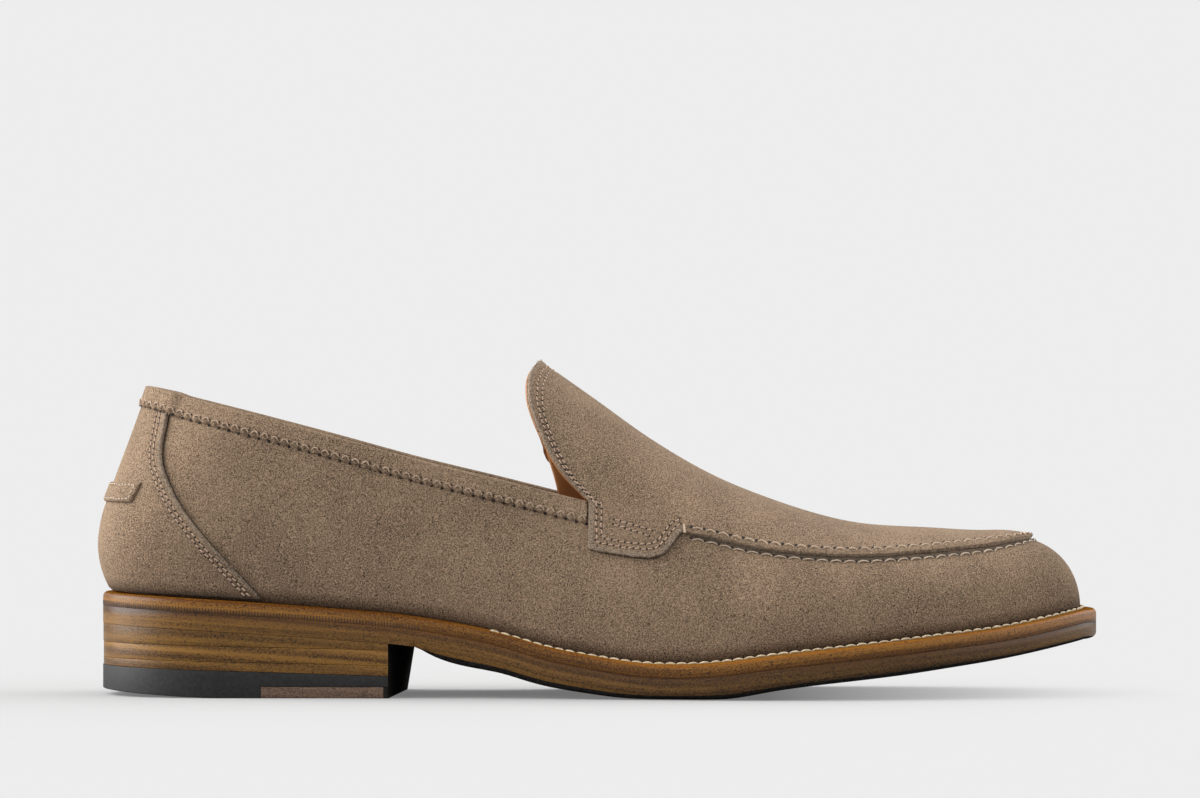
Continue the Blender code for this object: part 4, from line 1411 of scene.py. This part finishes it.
above = sole_under
for layer in HEEL_LAYERS:
    def lift_under(x, layer=layer):
        return (layer.back + (layer.front - layer.back) * x / BREAST) * PER_CENT * HEEL_HEIGHT

    def lift_top(x, above=above):
        return above(x) - JOINT

    def lift_rim(x, layer=layer):
        return rim(x) - layer.inset * MM

    lift_profile = edge_profile(lift_top, lift_under, lift_rim, HEEL_EDGE, HEEL_EDGE)
    ends = (BREAST, layer.medial_breast * PER_CENT * LENGTH)
    lift = loft(raked(heel_sections(0, lift_profile, ends), ends[1]), (-1,), 1)
    lift_leather = edge_leather(layer.name + "_leather", layer.light, layer.dark, seen(38, 25, 12), 0.4)
    as_piece("burnished_" + layer.name, lift, [lift_leather, black_stain], "sole_leather", layer.name)
    above = lift_under

heel_rubber = two_tone(
    "black_rubber", seen(34, 33, 33), seen(20, 19, 19), 900.0, Roughness=0.6, Specular_IOR_Level=0.25,
)
top_ends = (BREAST, TOP_PIECE_BREAST)


def top_piece_top(x):
    return above(x) - JOINT


def over_inset(x):
    return HEEL_INSET + JOINT + 0 * x


whole = edge_profile(top_piece_top, heel_floor, rim, HEEL_EDGE, TREAD_EDGE)
stepped = edge_profile(top_piece_top, over_inset, rim, HEEL_EDGE, HEEL_EDGE)
inset_share = station_of(HEEL_INSET_START) / station_of(BREAST)
joint_ends = (HEEL_INSET_START, station(inset_share * station_of(TOP_PIECE_BREAST)))
top_sections = np.concatenate((
    heel_sections(0, whole, joint_ends),
    raked(heel_sections(HEEL_INSET_START, stepped, top_ends), TOP_PIECE_BREAST),
))
top_piece = loft(top_sections, (-1,), 1)
as_piece("rubber_top_piece", top_piece, [heel_rubber, black_stain], "heel_rubber", "heel_top_piece")

inset_leather = edge_leather("heel_inset_leather", seen(118, 95, 78), seen(92, 73, 60), seen(56, 45, 38), 0.6)
inset_profile = edge_profile(lambda x: HEEL_INSET + 0 * x, heel_floor, rim, HEEL_EDGE, TREAD_EDGE)
inset_sections = raked(heel_sections(HEEL_INSET_START + JOINT, inset_profile, top_ends), TOP_PIECE_BREAST)
inset = loft(inset_sections, (0, -1), 1)
for face in inset.faces:
    middle = face.calc_center_median()
    front = BREAST if middle.y < 0 else TOP_PIECE_BREAST
    if middle.x + MIDDLE_ALONG > front - BREAST_STAIN:
        face.material_index = 1
as_piece("leather_heel_inset", inset, [inset_leather, black_stain], "sole_leather", "heel_top_inset")


# Camera, light and floor
# The shoe stands on a plain pale floor under soft studio light, seen square from its lateral side. The floor
# is painted matt, and for the camera it glows with painted light, which lifts its shadow and fades the shadow
# out beyond the toe and far from the shoe.
FRAME_WIDTH = 0.3624  # what the picture's width takes in at the shoe
CAMERA_DISTANCE = 2.0
CAMERA_HEIGHT = 0.0889
CAMERA_ALONG = 0.7 * MM
SENSOR = 36.0
FLOOR_SIZE = 40.0
FLOOR_GREY = (0.2779, 0.2779, 0.2779, 1)
# Painted light: the floor glows for the camera, which lifts its shadow.
FLOOR_GLOW = 0.16
FADED_GLOW = 0.687  # painted light added where the floor's shadow is faded out
FADE_TOE = (50 * MM, 180 * MM)  # along the shoe from its middle
FADE_FAR = (300 * MM, 800 * MM)  # round the shoe from its middle

camera = bpy.data.objects.new("camera", bpy.data.cameras.new("camera"))
camera.data.sensor_width = SENSOR
camera.data.lens = SENSOR * CAMERA_DISTANCE / FRAME_WIDTH
camera.location = (CAMERA_ALONG, -CAMERA_DISTANCE, CAMERA_HEIGHT)
camera.rotation_euler = (math.pi / 2, 0, 0)
bpy.context.scene.collection.objects.link(camera)
bpy.context.scene.camera = camera

floor_mesh = bpy.data.meshes.new("floor")
ground = bmesh.new()
bmesh.ops.create_grid(ground, x_segments=1, y_segments=1, size=FLOOR_SIZE / 2)
ground.to_mesh(floor_mesh)
ground.free()
floor = bpy.data.objects.new("floor", floor_mesh)
bpy.context.scene.collection.objects.link(floor)
floor_paint, floor_tree, floor_shader = new_material("pale_floor", Roughness=1.0, Specular_IOR_Level=0.0)
floor_shader.inputs["Emission Color"].default_value = (1.0, 1.0, 1.0, 1)
floor_seen = add(floor_tree, "ShaderNodeLightPath").outputs["Is Camera Ray"]
floor_place = add(floor_tree, "ShaderNodeTexCoord").outputs["Object"]
floor_along = add(floor_tree, "ShaderNodeSeparateXYZ", {"Vector": floor_place}).outputs["X"]
floor_far = add(floor_tree, "ShaderNodeVectorMath", {0: floor_place}, operation="LENGTH").outputs["Value"]
beyond_toe = spread(floor_tree, floor_along, *FADE_TOE)
away = spread(floor_tree, floor_far, *FADE_FAR)
faded = math_node(floor_tree, "MULTIPLY", math_node(floor_tree, "MAXIMUM", beyond_toe, away), floor_seen)
added_glow = math_node(floor_tree, "MULTIPLY", faded, FADED_GLOW)
glow_share = math_node(floor_tree, "ADD", added_glow, FLOOR_GLOW)
glow_seen = math_node(floor_tree, "MULTIPLY", floor_seen, glow_share)
floor_tree.links.new(glow_seen, floor_shader.inputs["Emission Strength"])
floor_tree.links.new(mix(floor_tree, faded, FLOOR_GREY, (0, 0, 0, 1)), floor_shader.inputs["Base Color"])
floor_mesh.materials.append(floor_paint)

world = bpy.data.worlds.new("studio")
world.use_nodes = True
sky = world.node_tree
sky_shader = sky.nodes["Background"]
direction = add(sky, "ShaderNodeTexCoord").outputs["Generated"]

# Soft lights round the shoe: the way towards each, the cosines where it begins and is full, and its strength
Glow = namedtuple("Glow", "towards begins full strength")
AMBIENT = 0.05
GLOWS = [
    Glow((0.0, 0.55, 0.8), 0.5, 0.95, 1.7),
    Glow((-1.0, 0.0, 0.4), 0.75, 0.95, 10.4),
    Glow((1.0, 0.1, 0.3), 0.6, 0.95, 3.8),
    Glow((0.0, -1.0, 0.3), 0.5, 0.95, 1.05),
]
BACKGROUND = seen(237, 237, 237)

light_sum = AMBIENT
for glow in GLOWS:
    dot = add(sky, "ShaderNodeVectorMath", {0: direction}, operation="DOT_PRODUCT")
    dot.inputs[1].default_value = Vector(glow.towards).normalized()
    share = spread(sky, dot.outputs["Value"], glow.begins, glow.full)
    light_sum = math_node(sky, "ADD", math_node(sky, "MULTIPLY", share, glow.strength), light_sum)
shown = add(sky, "ShaderNodeLightPath").outputs["Is Camera Ray"]
grey = add(sky, "ShaderNodeCombineColor", {"Red": light_sum, "Green": light_sum, "Blue": light_sum})
sky.links.new(mix(sky, shown, grey.outputs[0], BACKGROUND), sky_shader.inputs["Color"])
bpy.context.scene.world = world
bpy.context.scene.view_settings.view_transform = "Standard"
